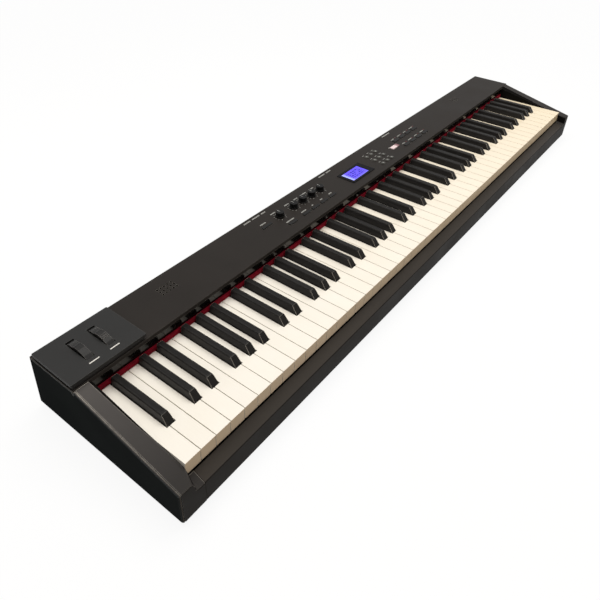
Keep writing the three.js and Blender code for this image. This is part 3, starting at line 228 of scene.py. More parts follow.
def hard_surface(name, colour, edge_wear_and_highlight_colour, roughness, grain_mm, grain_depth_mm, edge_mm=0.8,
                 specular=0.5, coat=0, rear_painted_sheen=1):
    material, tree = new_material(name)
    place = add_node(tree, "TexCoord").outputs["Object"]
    grain = add_node(tree, "TexNoise", {"Scale": per(grain_mm), "Detail": 3, "Roughness": 0.6},
                     {"Vector": place})
    drift = add_node(tree, "TexNoise", {"Scale": per(DRIFT_MM), "Detail": 4}, {"Vector": place})
    rough = add_node(tree, "MapRange", {"From Min": 0.3, "From Max": 0.7, "To Min": roughness - 0.05,
                                        "To Max": roughness + 0.07}, {"Value": drift.outputs[0]})
    edge = edge_share(tree, edge_mm, 0.8)
    wear_spots = add_node(tree, "TexNoise", {"Scale": per(WEAR_SPOT_MM), "Detail": 5}, {"Vector": place})
    wear_share = add_node(tree, "MapRange", {"From Min": 0.3, "From Max": 0.7, "To Min": 0.45,
                                             "To Max": 1}, {"Value": wear_spots.outputs[0]})
    # Lighter edges: partly wear and partly a painted highlight where the light catches them
    edge_wear_and_highlight = add_node(tree, "Math", {"operation": "MULTIPLY"},
                    {0: edge.outputs[0], 1: wear_share.outputs[0]})
    tone = add_node(tree, "Mix", {"data_type": "RGBA", 6: linear(colour), 7: linear(edge_wear_and_highlight_colour)},
                    {0: edge_wear_and_highlight.outputs[0]})
    dust = add_node(tree, "MapRange", {"From Min": 0.35, "From Max": 0.75, "To Min": 0.92,
                                       "To Max": 1.1}, {"Value": drift.outputs[0]})
    dusty = add_node(tree, "Mix", {"data_type": "RGBA", "blend_type": "MULTIPLY", 0: 1.0},
                     {6: tone.outputs[2], 7: dust.outputs[0]})
    # A painted sheen: the colour is scaled up from the front of the end blocks to their rear, where more
    # light falls
    along = add_node(tree, "SeparateXYZ", {}, {0: place})
    gain = add_node(tree, "MapRange", {"From Min": SHEEN_FROM_Y, "From Max": SHEEN_TO_Y,
                                       "To Min": 1, "To Max": rear_painted_sheen}, {"Value": along.outputs["Y"]})
    with_rear_sheen = add_node(tree, "VectorMath", {"operation": "SCALE"},
                         {0: dusty.outputs[2], "Scale": gain.outputs[0]})
    bump = add_node(tree, "Bump", {"Strength": 0.5, "Distance": grain_depth_mm * MM},
                    {"Height": grain.outputs[0]})
    shader = add_node(tree, "BsdfPrincipled", {
        "Specular IOR Level": specular, "Coat Weight": coat, "Coat Roughness": 0.08}, {
        "Base Color": with_rear_sheen.outputs[0], "Roughness": rough.outputs[0], "Normal": bump.outputs[0]})
    add_node(tree, "OutputMaterial", {}, {"Surface": shader.outputs[0]})
    return material


# Steel sheet with a baked powder coat: matte, with a fine orange-peel ripple
powder_coated_steel = hard_surface(
    "powder_coated_steel", "#1f1d1b", "#35332f", 0.58, grain_mm=1.2, grain_depth_mm=0.06, specular=0.06)
# The top of the ledge in front of the keys: the same coat painted paler, as painted light on this upward
# face
powder_coat_painted_light = hard_surface(
    "powder_coat_painted_light", "#3a3632", "#58524c", 0.5, grain_mm=1.2, grain_depth_mm=0.04, specular=0.06)
# ABS moulded against a spark-eroded tool: an even fine grain, soft highlights and a painted sheen to the
# rear
grained_abs = hard_surface(
    "grained_abs", "#363433", "#918c85", 0.58, grain_mm=0.9, grain_depth_mm=0.05, edge_mm=1.4,
    specular=0.04, rear_painted_sheen=2.5)
# The right end block is moulded alike, but the photograph shows it an even dark grey to the rear, so its
# painted sheen is faint
even_grained_abs = hard_surface(
    "even_grained_abs", "#363433", "#857f78", 0.58, grain_mm=0.9, grain_depth_mm=0.05, edge_mm=1.4,
    specular=0.04, rear_painted_sheen=1.1)
# The walls beside the keys: the same plastic, matt, painted a deeper black as painted shade where the keys
# keep the light off
matt_abs_painted_shade = hard_surface(
    "matt_abs_painted_shade", "#121110", "#4a4846", 0.65, grain_mm=0.9, grain_depth_mm=0.06, specular=0.02)
# The same plastic, smooth on the outside of the end blocks, where it looks almost black; its bluish
# # tint is a painted reflection and its bright edges are a painted highlight
smooth_abs_painted_highlight = hard_surface(
    "smooth_abs_painted_highlight", "#2f3335", "#b4b9bf", 0.5, grain_mm=2.4, grain_depth_mm=0.01, edge_mm=1.5,
    specular=0)
# Aluminium sheet under a satin stove paint, warmer and smoother than the powder coat, with a painted
# highlight on its edges
satin_painted_aluminium = hard_surface(
    "satin_painted_aluminium", "#2d2a28", "#8a867f", 0.5, grain_mm=1.0, grain_depth_mm=0.03,
    specular=0.04)
# The raised plate is ABS from a smoother tool: a cooler grey with a slight satin shine
wheel_plate_abs = hard_surface(
    "wheel_plate_abs", "#2b2b2b", "#6a6a68", 0.48, grain_mm=1.0, grain_depth_mm=0.04, specular=0.1)
# The wheels are moulded in a softer plastic, and fingers have polished their ribs, whose pale edges are a
# painted highlight
wheel_grip_abs = hard_surface(
    "wheel_grip_abs", "#161514", "#8a8683", 0.36, grain_mm=0.7, grain_depth_mm=0.03, edge_mm=0.9,
    specular=0.18)
# Knobs, socket blocks and the inlet are plain black ABS with a fine grain: small soft highlights
control_abs = hard_surface(
    "control_abs", "#0b0b0b", "#4a4a4a", 0.42, grain_mm=0.7, grain_depth_mm=0.03, edge_mm=0.5,
    specular=0.1)
# The caps are silicone rubber moulded black or grey: matte and a little waxy, without sparkle
button_silicone = hard_surface(
    "button_silicone", "#1b1b1b", "#5c5c5a", 0.55, grain_mm=0.8, grain_depth_mm=0.03, edge_mm=0.6,
    specular=0.12)
grey_silicone = hard_surface(
    "grey_silicone", "#4f4f4c", "#8a8a86", 0.55, grain_mm=0.8, grain_depth_mm=0.03, edge_mm=0.6,
    specular=0.12)
# The key bed is nylon filled with glass fibre: a dull grey, with a coarse tooth from the fibres
chassis_nylon = hard_surface(
    "chassis_nylon", "#3b3b3d", "#5d5d60", 0.55, grain_mm=1.5, grain_depth_mm=0.05)
# Circuit boards are glass-fibre laminate under green lacquer, which gives a thin wet-looking coat
solder_mask_board = hard_surface(
    "solder_mask_board", "#154a2a", "#3f7a52", 0.35, grain_mm=2.5, grain_depth_mm=0.04, coat=0.3)
# The feet are moulded natural rubber filled with soot: deep black with hardly a highlight
foot_rubber = hard_surface(
    "foot_rubber", "#131313", "#2c2c2c", 0.8, grain_mm=0.8, grain_depth_mm=0.08, specular=0.25)
# Speaker cones are paper pulp pressed in a mould: black, rough and quite dull
pressed_paper_cone = hard_surface(
    "pressed_paper_cone", "#121214", "#2b2b2e", 0.85, grain_mm=0.7, grain_depth_mm=0.1)
# Cast acrylic with a polished face: very smooth, so it mirrors its surroundings in deep black
gloss_black_acrylic = hard_surface(
    "gloss_black_acrylic", "#0b0908", "#3a3533", 0.12, grain_mm=18, grain_depth_mm=0.01, edge_mm=0.3,
    specular=0.3)
# Tinted acrylic round the display, with a coating that keeps it from mirroring the ceiling
tinted_acrylic = hard_surface(
    "tinted_acrylic", "#08080c", "#2a2a2e", 0.2, grain_mm=18, grain_depth_mm=0.01, edge_mm=0.3,
    specular=0.04)
print("materials so far:", len(bpy.data.materials))

# %% [markdown]
# ## Key tops
# The naturals are moulded in an ivory-coloured resin with a faint grain along their length, which
# keeps fingers from slipping. The grain is a noise drawn out along the key. No two keys are quite
# the same white, so a number for each key, worked out from its place along the keyboard, shifts the
# tone a little. The photograph shows the treble keys yellower, so the tone warms towards them. The
# fronts are duller than the tops, and their darker, warmer colour is painted shade on the faces that
# turn from the lamp overhead, so the same recipe is used twice.

# %% Make the ivory resin
NATURAL_PITCH, NATURAL_COUNT = 23.6, 52
YELLOW_FROM_X, YELLOW_TO_X = -0.45, 0.62


def key_resin(name, darker, lighter, treble_tint, roughness):
    material, tree = new_material(name)
    place = add_node(tree, "TexCoord").outputs["Object"]
    axes = add_node(tree, "SeparateXYZ", {}, {0: place})
    key_line = add_node(tree, "Math", {
        "operation": "MULTIPLY_ADD", 1: per(NATURAL_PITCH), 2: NATURAL_COUNT / 2},
        {0: axes.outputs["X"]})
    key_number = add_node(tree, "Math", {"operation": "FLOOR"}, {0: key_line.outputs[0]})
    dice = add_node(tree, "TexWhiteNoise", {"noise_dimensions": "1D"}, {"W": key_number.outputs[0]})
    stretched = add_node(tree, "Mapping", {"Scale": (per(0.9), per(14), per(6))}, {"Vector": place})
    grain = add_node(tree, "TexNoise", {"Scale": 1, "Detail": 4, "Roughness": 0.65},
                     {"Vector": stretched.outputs[0]})
    clouds = add_node(tree, "TexNoise", {"Scale": per(45), "Detail": 3}, {"Vector": place})
    key_tone = add_node(tree, "MapRange", {"To Min": 0.975, "To Max": 1}, {"Value": dice.outputs[0]})
    grain_tone = add_node(tree, "MapRange", {"From Min": 0.3, "From Max": 0.7, "To Min": 0.975,
                                             "To Max": 1}, {"Value": grain.outputs[0]})
    both_tones = add_node(tree, "Math", {"operation": "MULTIPLY"},
                          {0: key_tone.outputs[0], 1: grain_tone.outputs[0]})
    cream = add_node(tree, "Mix", {"data_type": "RGBA", 6: linear(darker), 7: linear(lighter)},
                     {0: clouds.outputs[0]})
    # The colour warms along X towards the treble keys
    treble = add_node(tree, "MapRange", {"From Min": YELLOW_FROM_X, "From Max": YELLOW_TO_X},
                      {"Value": axes.outputs["X"]})
    treble_share = add_node(tree, "Math", {"operation": "POWER", 1: 1.4}, {0: treble.outputs[0]})
    treble_tinted = add_node(tree, "Mix", {"data_type": "RGBA", 7: linear(treble_tint)},
                    {0: treble_share.outputs[0], 6: cream.outputs[2]})
    toned = add_node(tree, "Mix", {"data_type": "RGBA", "blend_type": "MULTIPLY", 0: 1.0},
                     {6: treble_tinted.outputs[2], 7: both_tones.outputs[0]})
    rough = add_node(tree, "MapRange", {"From Min": 0.3, "From Max": 0.7, "To Min": roughness,
                                        "To Max": roughness + 0.12}, {"Value": clouds.outputs[0]})
    bump = add_node(tree, "Bump", {"Strength": 0.35, "Distance": 0.04 * MM}, {"Height": grain.outputs[0]})
    shader = add_node(tree, "BsdfPrincipled", {"Specular IOR Level": 0.3}, {
        "Base Color": toned.outputs[2], "Roughness": rough.outputs[0], "Normal": bump.outputs[0]})
    add_node(tree, "OutputMaterial", {}, {"Surface": shader.outputs[0]})
    return material


ivory_resin = key_resin("ivory_resin", "#f3ede1", "#f7f3eb", "#f5e6ca", 0.28)
front_resin_painted_shade = key_resin("front_resin_painted_shade", "#ddcab0", "#e8d8c0", "#e2cfae", 0.5)
print("one natural every", NATURAL_PITCH, "mm")

# %% [markdown]
# The sharps are a black resin with an ebony-like grain: fine streaks along the key. The tops stay
# matte and deep. The sides are polished by fingers, and the grey they take from the ivory beside
# them is a painted reflection in their colour. The long edges between the two are painted paler
# still, as a highlight with a little wear.

# %% Make the ebony resin
SHARP_EDGE_MM = 1.1
STREAK_MM, STREAK_LENGTH_MM = 0.7, 22


def ebony_like(name, darker, lighter, edge_wear_and_highlight_colour, roughness):
    material, tree = new_material(name)
    place = add_node(tree, "TexCoord").outputs["Object"]
    stretched = add_node(tree, "Mapping", {"Scale": (per(STREAK_MM), per(STREAK_LENGTH_MM), per(STREAK_MM))},
                         {"Vector": place})
    streaks = add_node(tree, "TexNoise", {"Scale": 1, "Detail": 5, "Roughness": 0.6},
                       {"Vector": stretched.outputs[0]})
    streak_tone = add_node(tree, "MapRange", {"From Min": 0.35, "From Max": 0.7},
                           {"Value": streaks.outputs[0]})
    wood = add_node(tree, "Mix", {"data_type": "RGBA", 6: linear(darker), 7: linear(lighter)},
                    {0: streak_tone.outputs[0]})
    edge = edge_share(tree, SHARP_EDGE_MM, 0.85)
    # Pale edges: a painted highlight, with a little wear
    wood_with_edge_highlight = add_node(tree, "Mix", {"data_type": "RGBA", 7: linear(edge_wear_and_highlight_colour)},
                    {0: edge.outputs[0], 6: wood.outputs[2]})
    rough = add_node(tree, "MapRange", {"From Min": 0.3, "From Max": 0.7, "To Min": roughness,
                                        "To Max": roughness + 0.14}, {"Value": streaks.outputs[0]})
    bump = add_node(tree, "Bump", {"Strength": 0.5, "Distance": 0.05 * MM}, {"Height": streaks.outputs[0]})
    shader = add_node(tree, "BsdfPrincipled", {"Specular IOR Level": 0.1}, {
        "Base Color": wood_with_edge_highlight.outputs[2], "Roughness": rough.outputs[0], "Normal": bump.outputs[0]})
    add_node(tree, "OutputMaterial", {}, {"Surface": shader.outputs[0]})
    return material


ebony_resin = ebony_like("ebony_resin", "#0d0c0b", "#211f1e", "#c4beb4", 0.38)
polished_ebony_painted_reflection = ebony_like("polished_ebony_painted_reflection", "#1d1c1c", "#2e2d2e", "#bdb6ad", 0.25)
print("ebony streaks", STREAK_MM, "mm wide")

# %% [markdown]
# ## Felt
# The strip behind the keys is pressed wool. Wool fibres stand out of the surface, scatter light
# sideways and give a soft sheen, and the dye takes unevenly from one tuft to the next.

# %% Make the wool felt
wool_felt, tree = new_material("wool_felt")
place = add_node(tree, "TexCoord").outputs["Object"]
fibres = add_node(tree, "TexNoise", {"Scale": per(0.8), "Detail": 6, "Roughness": 0.8, "Distortion": 1.5},
                  {"Vector": place})
tufts = add_node(tree, "TexNoise", {"Scale": per(5), "Detail": 3}, {"Vector": place})
dye = add_node(tree, "Math", {"operation": "MULTIPLY"}, {0: fibres.outputs[0], 1: tufts.outputs[0]})
dye_range = add_node(tree, "MapRange", {"From Min": 0.12, "From Max": 0.4}, {"Value": dye.outputs[0]})
crimson = add_node(tree, "Mix", {"data_type": "RGBA", 6: linear("#520714"), 7: linear("#860c22")},
                   {0: dye_range.outputs[0]})
fibre_bump = add_node(tree, "Bump", {"Strength": 0.8, "Distance": 0.4 * MM},
                      {"Height": fibres.outputs[0]})
shader = add_node(tree, "BsdfPrincipled", {
    "Roughness": 0.95, "Specular IOR Level": 0.1, "Sheen Weight": 0.25, "Sheen Roughness": 0.5,
    "Sheen Tint": linear("#c03048")}, {
    "Base Color": crimson.outputs[2], "Normal": fibre_bump.outputs[0]})
add_node(tree, "OutputMaterial", {}, {"Surface": shader.outputs[0]})
print("felt fibres 0.8 mm")

# %% [markdown]
# ## Metal
# The hinge rod and the wheels' shaft are drawn steel: fine lines run along them from the die.

# %% Make the drawn steel
drawn_steel, tree = new_material("drawn_steel")
place = add_node(tree, "TexCoord").outputs["Object"]
stretched = add_node(tree, "Mapping", {"Scale": (per(40), per(0.3), per(0.3))}, {"Vector": place})
die_lines = add_node(tree, "TexNoise", {"Scale": 1, "Detail": 4}, {"Vector": stretched.outputs[0]})
steel_rough = add_node(tree, "MapRange", {"To Min": 0.2, "To Max": 0.42}, {"Value": die_lines.outputs[0]})
steel_tone = add_node(tree, "Mix", {"data_type": "RGBA", 6: linear("#b2b2b0"), 7: linear("#cfcfce")},
                      {0: die_lines.outputs[0]})
line_bump = add_node(tree, "Bump", {"Strength": 0.3, "Distance": 0.02 * MM},
                     {"Height": die_lines.outputs[0]})
shader = add_node(tree, "BsdfPrincipled", {"Metallic": 1}, {
    "Base Color": steel_tone.outputs[2], "Roughness": steel_rough.outputs[0],
    "Normal": line_bump.outputs[0]})
add_node(tree, "OutputMaterial", {}, {"Surface": shader.outputs[0]})
print("steel done")

# %% [markdown]
# ## Lit parts
# The display is a backlit panel of liquid crystal behind a clear sheet: a blue glow that leaks paler
# along the two edges nearest its lamps, with rows of dark blocks in place of words. One button is
# lit from below through milky red silicone, and its lamp doesn't reach its right end.

# %% Make the display and the lit button
BLOCK_WIDTH, BLOCK_STEP, BLOCK_GAP = 7.5 * MM, 4.8 * MM, 0.9 * MM
TEXT_HALF_WIDTH, TEXT_HALF_HEIGHT = 19 * MM, 9 * MM
LEAK_X, LEAK_Y = (-16 * MM, -23 * MM), (-11 * MM, -15 * MM)
lens_low, lens_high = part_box("display_lens")
lens_middle = (lens_low + lens_high) / 2
backlit_display, tree = new_material("backlit_display")
place = add_node(tree, "TexCoord").outputs["Object"]
from_middle = add_node(tree, "VectorMath", {"operation": "SUBTRACT", 1: lens_middle}, {0: place})
blocks = add_node(tree, "TexBrick", {
    "Scale": 1, "Brick Width": BLOCK_WIDTH, "Row Height": BLOCK_STEP, "Mortar Size": BLOCK_GAP,
    "Color1": (1, 1, 1, 1), "Color2": (0.6, 0.6, 0.6, 1), "Mortar": (0, 0, 0, 1), "offset": 0.0},
    {"Vector": from_middle.outputs[0]})
local = add_node(tree, "SeparateXYZ", {}, {0: from_middle.outputs[0]})
word_lines = add_node(tree, "TexNoise", {"noise_dimensions": "2D", "Scale": per(12), "Detail": 0},
                      {"Vector": from_middle.outputs[0]})
word_mask = add_node(tree, "Math", {"operation": "GREATER_THAN", 1: 0.42}, {0: word_lines.outputs[0]})
reach_x = add_node(tree, "Math", {"operation": "ABSOLUTE"}, {0: local.outputs["X"]})
inside_x = add_node(tree, "Math", {"operation": "LESS_THAN", 1: TEXT_HALF_WIDTH}, {0: reach_x.outputs[0]})
reach_y = add_node(tree, "Math", {"operation": "ABSOLUTE"}, {0: local.outputs["Y"]})
inside_y = add_node(tree, "Math", {"operation": "LESS_THAN", 1: TEXT_HALF_HEIGHT}, {0: reach_y.outputs[0]})
inside = add_node(tree, "Math", {"operation": "MULTIPLY"}, {0: inside_x.outputs[0], 1: inside_y.outputs[0]})
marks = add_node(tree, "Math", {"operation": "MULTIPLY"}, {0: inside.outputs[0], 1: word_mask.outputs[0]})
shown = add_node(tree, "Math", {"operation": "MULTIPLY"}, {0: marks.outputs[0], 1: blocks.outputs[0]})
edge_x = add_node(tree, "MapRange", {"From Min": LEAK_X[0], "From Max": LEAK_X[1], "To Max": 0.8},
                  {"Value": local.outputs["X"]})
edge_y = add_node(tree, "MapRange", {"From Min": LEAK_Y[0], "From Max": LEAK_Y[1], "To Max": 0.4},
                  {"Value": local.outputs["Y"]})
leak = add_node(tree, "Math", {"operation": "MAXIMUM"}, {0: edge_x.outputs[0], 1: edge_y.outputs[0]})
field = add_node(tree, "Mix", {"data_type": "RGBA", 6: linear("#5a4ce2"), 7: linear("#a3b0fb")},
                 {0: leak.outputs[0]})
glow = add_node(tree, "Mix", {"data_type": "RGBA", 7: linear("#160d7c")},
                {0: shown.outputs[0], 6: field.outputs[2]})
lcd_grain = add_node(tree, "TexNoise", {"Scale": per(1.2), "Detail": 1}, {"Vector": place})
lcd_rough = add_node(tree, "MapRange", {"To Min": 0.12, "To Max": 0.2}, {"Value": lcd_grain.outputs[0]})
shader = add_node(tree, "BsdfPrincipled", {"Emission Strength": 0.55, "Specular IOR Level": 0.1}, {
    "Base Color": glow.outputs[2], "Emission Color": glow.outputs[2], "Roughness": lcd_rough.outputs[0]})
add_node(tree, "OutputMaterial", {}, {"Surface": shader.outputs[0]})

LAMP_REACHES_X, LAMP_FADES_X = 0.1375, 0.1435
lit_silicone, tree = new_material("lit_silicone")
place = add_node(tree, "TexCoord").outputs["Object"]
milk = add_node(tree, "TexNoise", {"Scale": per(4), "Detail": 2}, {"Vector": place})
along = add_node(tree, "SeparateXYZ", {}, {0: place})
lamp_side = add_node(tree, "MapRange", {"From Min": LAMP_REACHES_X, "From Max": LAMP_FADES_X},
                     {"Value": along.outputs["X"]})
glow_tone = add_node(tree, "Mix", {"data_type": "RGBA", 6: linear("#dcc9ca"), 7: linear("#561a28")},
                     {0: lamp_side.outputs[0]})
milk_share = add_node(tree, "MapRange", {"To Max": 0.3}, {"Value": milk.outputs[0]})
pink = add_node(tree, "Mix", {"data_type": "RGBA", 7: linear("#e3bfc2")},
                {0: milk_share.outputs[0], 6: glow_tone.outputs[2]})
lit_bump = add_node(tree, "Bump", {"Strength": 0.3, "Distance": 0.05 * MM}, {"Height": milk.outputs[0]})
shader = add_node(tree, "BsdfPrincipled", {"Emission Strength": 0.08, "Roughness": 0.45}, {
    "Base Color": pink.outputs[2], "Emission Color": pink.outputs[2], "Normal": lit_bump.outputs[0]})
add_node(tree, "OutputMaterial", {}, {"Surface": shader.outputs[0]})

# The lens of a lamp that is off: epoxy resin, dyed red and clouded so that it spreads the light
dyed_epoxy, tree = new_material("dyed_epoxy")
place = add_node(tree, "TexCoord").outputs["Object"]
cloud = add_node(tree, "TexNoise", {"Scale": per(0.8), "Detail": 2}, {"Vector": place})
dye = add_node(tree, "Mix", {"data_type": "RGBA", 6: linear("#4a1216"), 7: linear("#8a3a40")},
               {0: cloud.outputs[0]})
epoxy_rough = add_node(tree, "MapRange", {"To Min": 0.15, "To Max": 0.3}, {"Value": cloud.outputs[0]})
shader = add_node(tree, "BsdfPrincipled", {}, {
    "Base Color": dye.outputs[2], "Roughness": epoxy_rough.outputs[0]})
add_node(tree, "OutputMaterial", {}, {"Surface": shader.outputs[0]})
print("display middle", tuple(round(v, 4) for v in lens_middle))

# %% [markdown]
# ## Dress the imported pieces
# Each imported piece keeps its mesh, which comes as loose facets. Modifiers first join the facets at
# their corners and merge them back into whole faces. Then every sharp edge gets a small rounding,
# because no moulded or folded edge is a perfect corner and the thin highlight on it is what the eye
# reads as solid. The size of the rounding goes with the piece. A second function gives another
# material to the faces that turn a chosen way: on some pieces a real second finish, on others a
# paler or darker copy that paints in light or shade.

# %% Give each piece its finish and its edge rounding
JOIN_MM, MERGE_DEGREES, SHARP_DEGREES = 0.005, 0.5, 35


def dress(names, material, rounding_mm, segments=2):
    for name in names:
        piece = nodes[name]
        piece.data.materials.clear()
        piece.data.materials.append(material)
        if rounding_mm:
            weld = piece.modifiers.new("join_facets", "WELD")
            weld.merge_threshold = JOIN_MM * MM
            merge = piece.modifiers.new("merge_facets", "DECIMATE")
            merge.decimate_type = "DISSOLVE"
            merge.angle_limit = math.radians(MERGE_DEGREES)
            merge.delimit = {"MATERIAL"}
            soft = piece.modifiers.new("soft_edges", "BEVEL")
            soft.width = rounding_mm * MM
            soft.segments = segments
            soft.limit_method = "ANGLE"
            soft.angle_limit = math.radians(SHARP_DEGREES)
            soft.harden_normals = True
            soft.use_clamp_overlap = True


def dress_faces(names, material, chosen):
    count = 0
    for name in names:
        piece = nodes[name]
        piece.data.materials.append(material)
        place = len(piece.data.materials) - 1
        for face in piece.data.polygons:
            if chosen(face.normal, face.center):
                face.material_index = place
                count += 1
    print(material.name, "on", count, "faces")


single_keys = [n for n in nodes if n.startswith("key_") and n[5] == "4"]
naturals = [n for n in nodes if n.startswith("naturals_") or n in single_keys and not n.endswith("_sharp")]
sharps = [n for n in nodes if n.startswith("sharps_") or n.endswith("_sharp")]
knobs = [n for n in nodes if n.startswith("knob_")]
feet = [n for n in nodes if n.endswith("_foot")]
dress(naturals, ivory_resin, 0.2)
# The fronts of the naturals get a darker, warmer copy of the resin: painted shade
dress_faces(naturals, front_resin_painted_shade, lambda normal, middle: normal.y < -0.9)
dress(sharps, ebony_resin, 0.7, segments=3)
# The sides of the sharps are polished, and painted greyer as a reflection of the ivory beside them
dress_faces(sharps, polished_ebony_painted_reflection, lambda normal, middle: abs(normal.x) > 0.7)
dress(["bottom_case", "front_rail", "rear_panel"], powder_coated_steel, 0.6)
# The ledge's upward face gets the paler copy of the coat: painted light
dress_faces(["front_rail"], powder_coat_painted_light, lambda normal, middle: normal.z > 0.9)
dress(["left_end_block"], grained_abs, 0.6)
dress(["right_end_block"], even_grained_abs, 0.6)
# The end blocks stay grained where their tops slope. They are smooth outside, behind and on the flat
# # part of the top, with a bluish painted reflection and bright painted edge highlights; beside the
# # keys a darker copy paints in shade; and in front they are coated like the rail
ends = ["left_end_block", "right_end_block"]
dress_faces(ends, smooth_abs_painted_highlight, lambda normal, middle: normal.y > 0.9 or normal.x * middle.x > 0.4)
dress_faces(ends, smooth_abs_painted_highlight, lambda normal, middle: normal.z > 0.9 and middle.y > 0.02)
dress_faces(ends, matt_abs_painted_shade, lambda normal, middle: normal.x * middle.x < -0.4)
dress_faces(ends, powder_coated_steel, lambda normal, middle: normal.y < -0.9)
dress(["top_panel"], satin_painted_aluminium, 0.4)
dress(["fallboard_strip"], gloss_black_acrylic, 0.3)
dress(["display_bezel"], tinted_acrylic, 0.3)
dress(["felt_strip"], wool_felt, 0.5)
dress(["wheel_plate"], wheel_plate_abs, 0.7)
dress(["power_inlet"] + knobs, control_abs, 0.3)
dress(["pitch_wheel", "modulation_wheel"], wheel_grip_abs, 0.3)
dress(["power_button", "function_buttons", "tone_buttons"], button_silicone, 0.4)
dress(["cursor_buttons"], grey_silicone, 0.4)
dress(["lit_button"], lit_silicone, 0.4)
dress(["display_lens"], backlit_display, 0)
dress(["wheel_bracket", "key_chassis"], chassis_nylon, 0)
dress(["wheel_shaft", "key_pivot_rod"], drawn_steel, 0)
dress(["panel_board", "socket_board"], solder_mask_board, 0)
dress(["left_speaker", "right_speaker"], pressed_paper_cone, 0)
dress(feet, foot_rubber, 0.4)

# On the rear board the sheet is green, the blocks on it are black, the collars are plated and the
# legs under it are grey
SOCKET_BLOCK_HEIGHT, COLLAR_LENGTH, SHEET_THICKNESS = 14, 3, 2
board_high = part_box("socket_board")[1]
sheet_top = board_high.z - SOCKET_BLOCK_HEIGHT * MM
dress_faces(["socket_board"], control_abs, lambda normal, middle: middle.z > sheet_top + 0.2 * MM)
dress_faces(["socket_board"], drawn_steel,
            lambda normal, middle: middle.y > board_high.y - COLLAR_LENGTH * MM)
dress_faces(["socket_board"], chassis_nylon,
            lambda normal, middle: middle.z < sheet_top - SHEET_THICKNESS * MM)
bare = [n for n, o in nodes.items() if o.data.materials[0].name.startswith("Material")]
print("naturals:", len(naturals), "sharps:", len(sharps), "still bare:", bare)

# %% [markdown]
# ## A frame to measure in
# The marks, lamps and contacts below are placed from the lowest key: X runs along the keys from the
# left edge of the first natural, Y runs back from the fronts of the naturals, and Z rises from their
# tops. These are the distances that a maker would measure with a ruler on the instrument. Only the
# screws are placed in the shared frame, in metres.

# %% Millimetres from the lowest key
FIRST_KEY = Vector((-613.6, -113.25, 68.3))
PANEL_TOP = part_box("top_panel")[1].z / MM - FIRST_KEY.z
PLATE_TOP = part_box("wheel_plate")[1].z / MM - FIRST_KEY.z
KNOB_X = (402.8, 439.4, 464.1, 488.8, 513.5)
KNOB_Y, FUNCTION_Y, CURSOR_Y = 197.5, 170.0, 183.0
CURSOR_X, CURSOR_STEP_X, CURSOR_STEP_Y = 674, 16, 18.48
TONE_ROWS, TONE_COLUMNS = (170.0, 196.0), 4
TONE_LABEL_X, TONE_LAMP_X, TONE_STEP_X, TONE_MARK_Y = 778, 786.5, 25, 7.6


def from_key(x, y, z):
    return (Vector((x, y, z)) + FIRST_KEY) * MM


def add_piece(name, mesh_builder, material, body="case", rounding_mm=0, smooth=False):
    mesh = bpy.data.meshes.new(name)
    mesh_builder.to_mesh(mesh)
    mesh_builder.free()
    mesh.materials.append(material)
    for face in mesh.polygons:
        face.use_smooth = smooth
    piece = bpy.data.objects.new(name, mesh)
    scene.collection.objects.link(piece)
    if rounding_mm:
        soft = piece.modifiers.new("soft_edges", "BEVEL")
        soft.width = rounding_mm * MM
        soft.segments = 2
        soft.limit_method = "ANGLE"
    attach(piece, body)
    return piece


print("panel top", round(PANEL_TOP, 2), "plate top", round(PLATE_TOP, 2), "mm above the keys")

# %% [markdown]
# ## Printed marks
# The panel is screen printed: white ink pushed through a mesh leaves a film with a soft tooth and
# slightly uneven cover. The labels here are left without words. Each one is a short run of plain
# blocks, as wide as a word would be. Real ink is about a fiftieth of a millimetre thick. It is drawn
# thicker here and sunk a little, so that no gap shows under it.

# %% Make the ink
def printed_ink(name, thin, full):
    material, tree = new_material(name)
    place = add_node(tree, "TexCoord").outputs["Object"]
    mesh_marks = add_node(tree, "TexNoise", {"Scale": per(0.5), "Detail": 3}, {"Vector": place})
    cover = add_node(tree, "MapRange", {"From Min": 0.3, "From Max": 0.7}, {"Value": mesh_marks.outputs[0]})
    ink = add_node(tree, "Mix", {"data_type": "RGBA", 6: linear(thin), 7: linear(full)},
                   {0: cover.outputs[0]})
    ink_rough = add_node(tree, "MapRange", {"To Min": 0.5, "To Max": 0.7}, {"Value": mesh_marks.outputs[0]})
    ink_bump = add_node(tree, "Bump", {"Strength": 0.4, "Distance": 0.02 * MM},
                        {"Height": mesh_marks.outputs[0]})
    shader = add_node(tree, "BsdfPrincipled", {"Specular IOR Level": 0.2}, {
        "Base Color": ink.outputs[2], "Roughness": ink_rough.outputs[0], "Normal": ink_bump.outputs[0]})
    add_node(tree, "OutputMaterial", {}, {"Surface": shader.outputs[0]})
    return material


# One pass of ink for the small labels, and two passes, which cover better, for the wheels' lines
screen_print_ink = printed_ink("screen_print_ink", "#8c8c88", "#b4b4b0")
double_print_ink = printed_ink("double_print_ink", "#cfccc6", "#efece6")
print("ink grain 0.5 mm")


# %% Helpers for flat marks
INK_THICKNESS = 0.08


def add_block(builder, x, y, z, width, depth, height, turn=0.0):
    """A block with its middle at x, y and its underside at z, turned about the vertical."""
    shape = Matrix.LocRotScale(from_key(x, y, z + height / 2), Matrix.Rotation(turn, 3, "Z"),
                               Vector((width, depth, height)) * MM)
    bmesh.ops.create_cube(builder, size=1, matrix=shape)


def add_word(builder, left, right, y, z, height):
    """A row of blocks from left to right, with the uneven widths that letters have."""
    widths = (1.5, 1.1, 1.6, 0.8, 1.4, 1.2)
    x, number = left, 0
    while x < right - 0.4:
        width = min(widths[number % len(widths)], right - x)
        add_block(builder, x + width / 2, y, z, width, height, INK_THICKNESS)
        x += width + 0.45
        number += 1


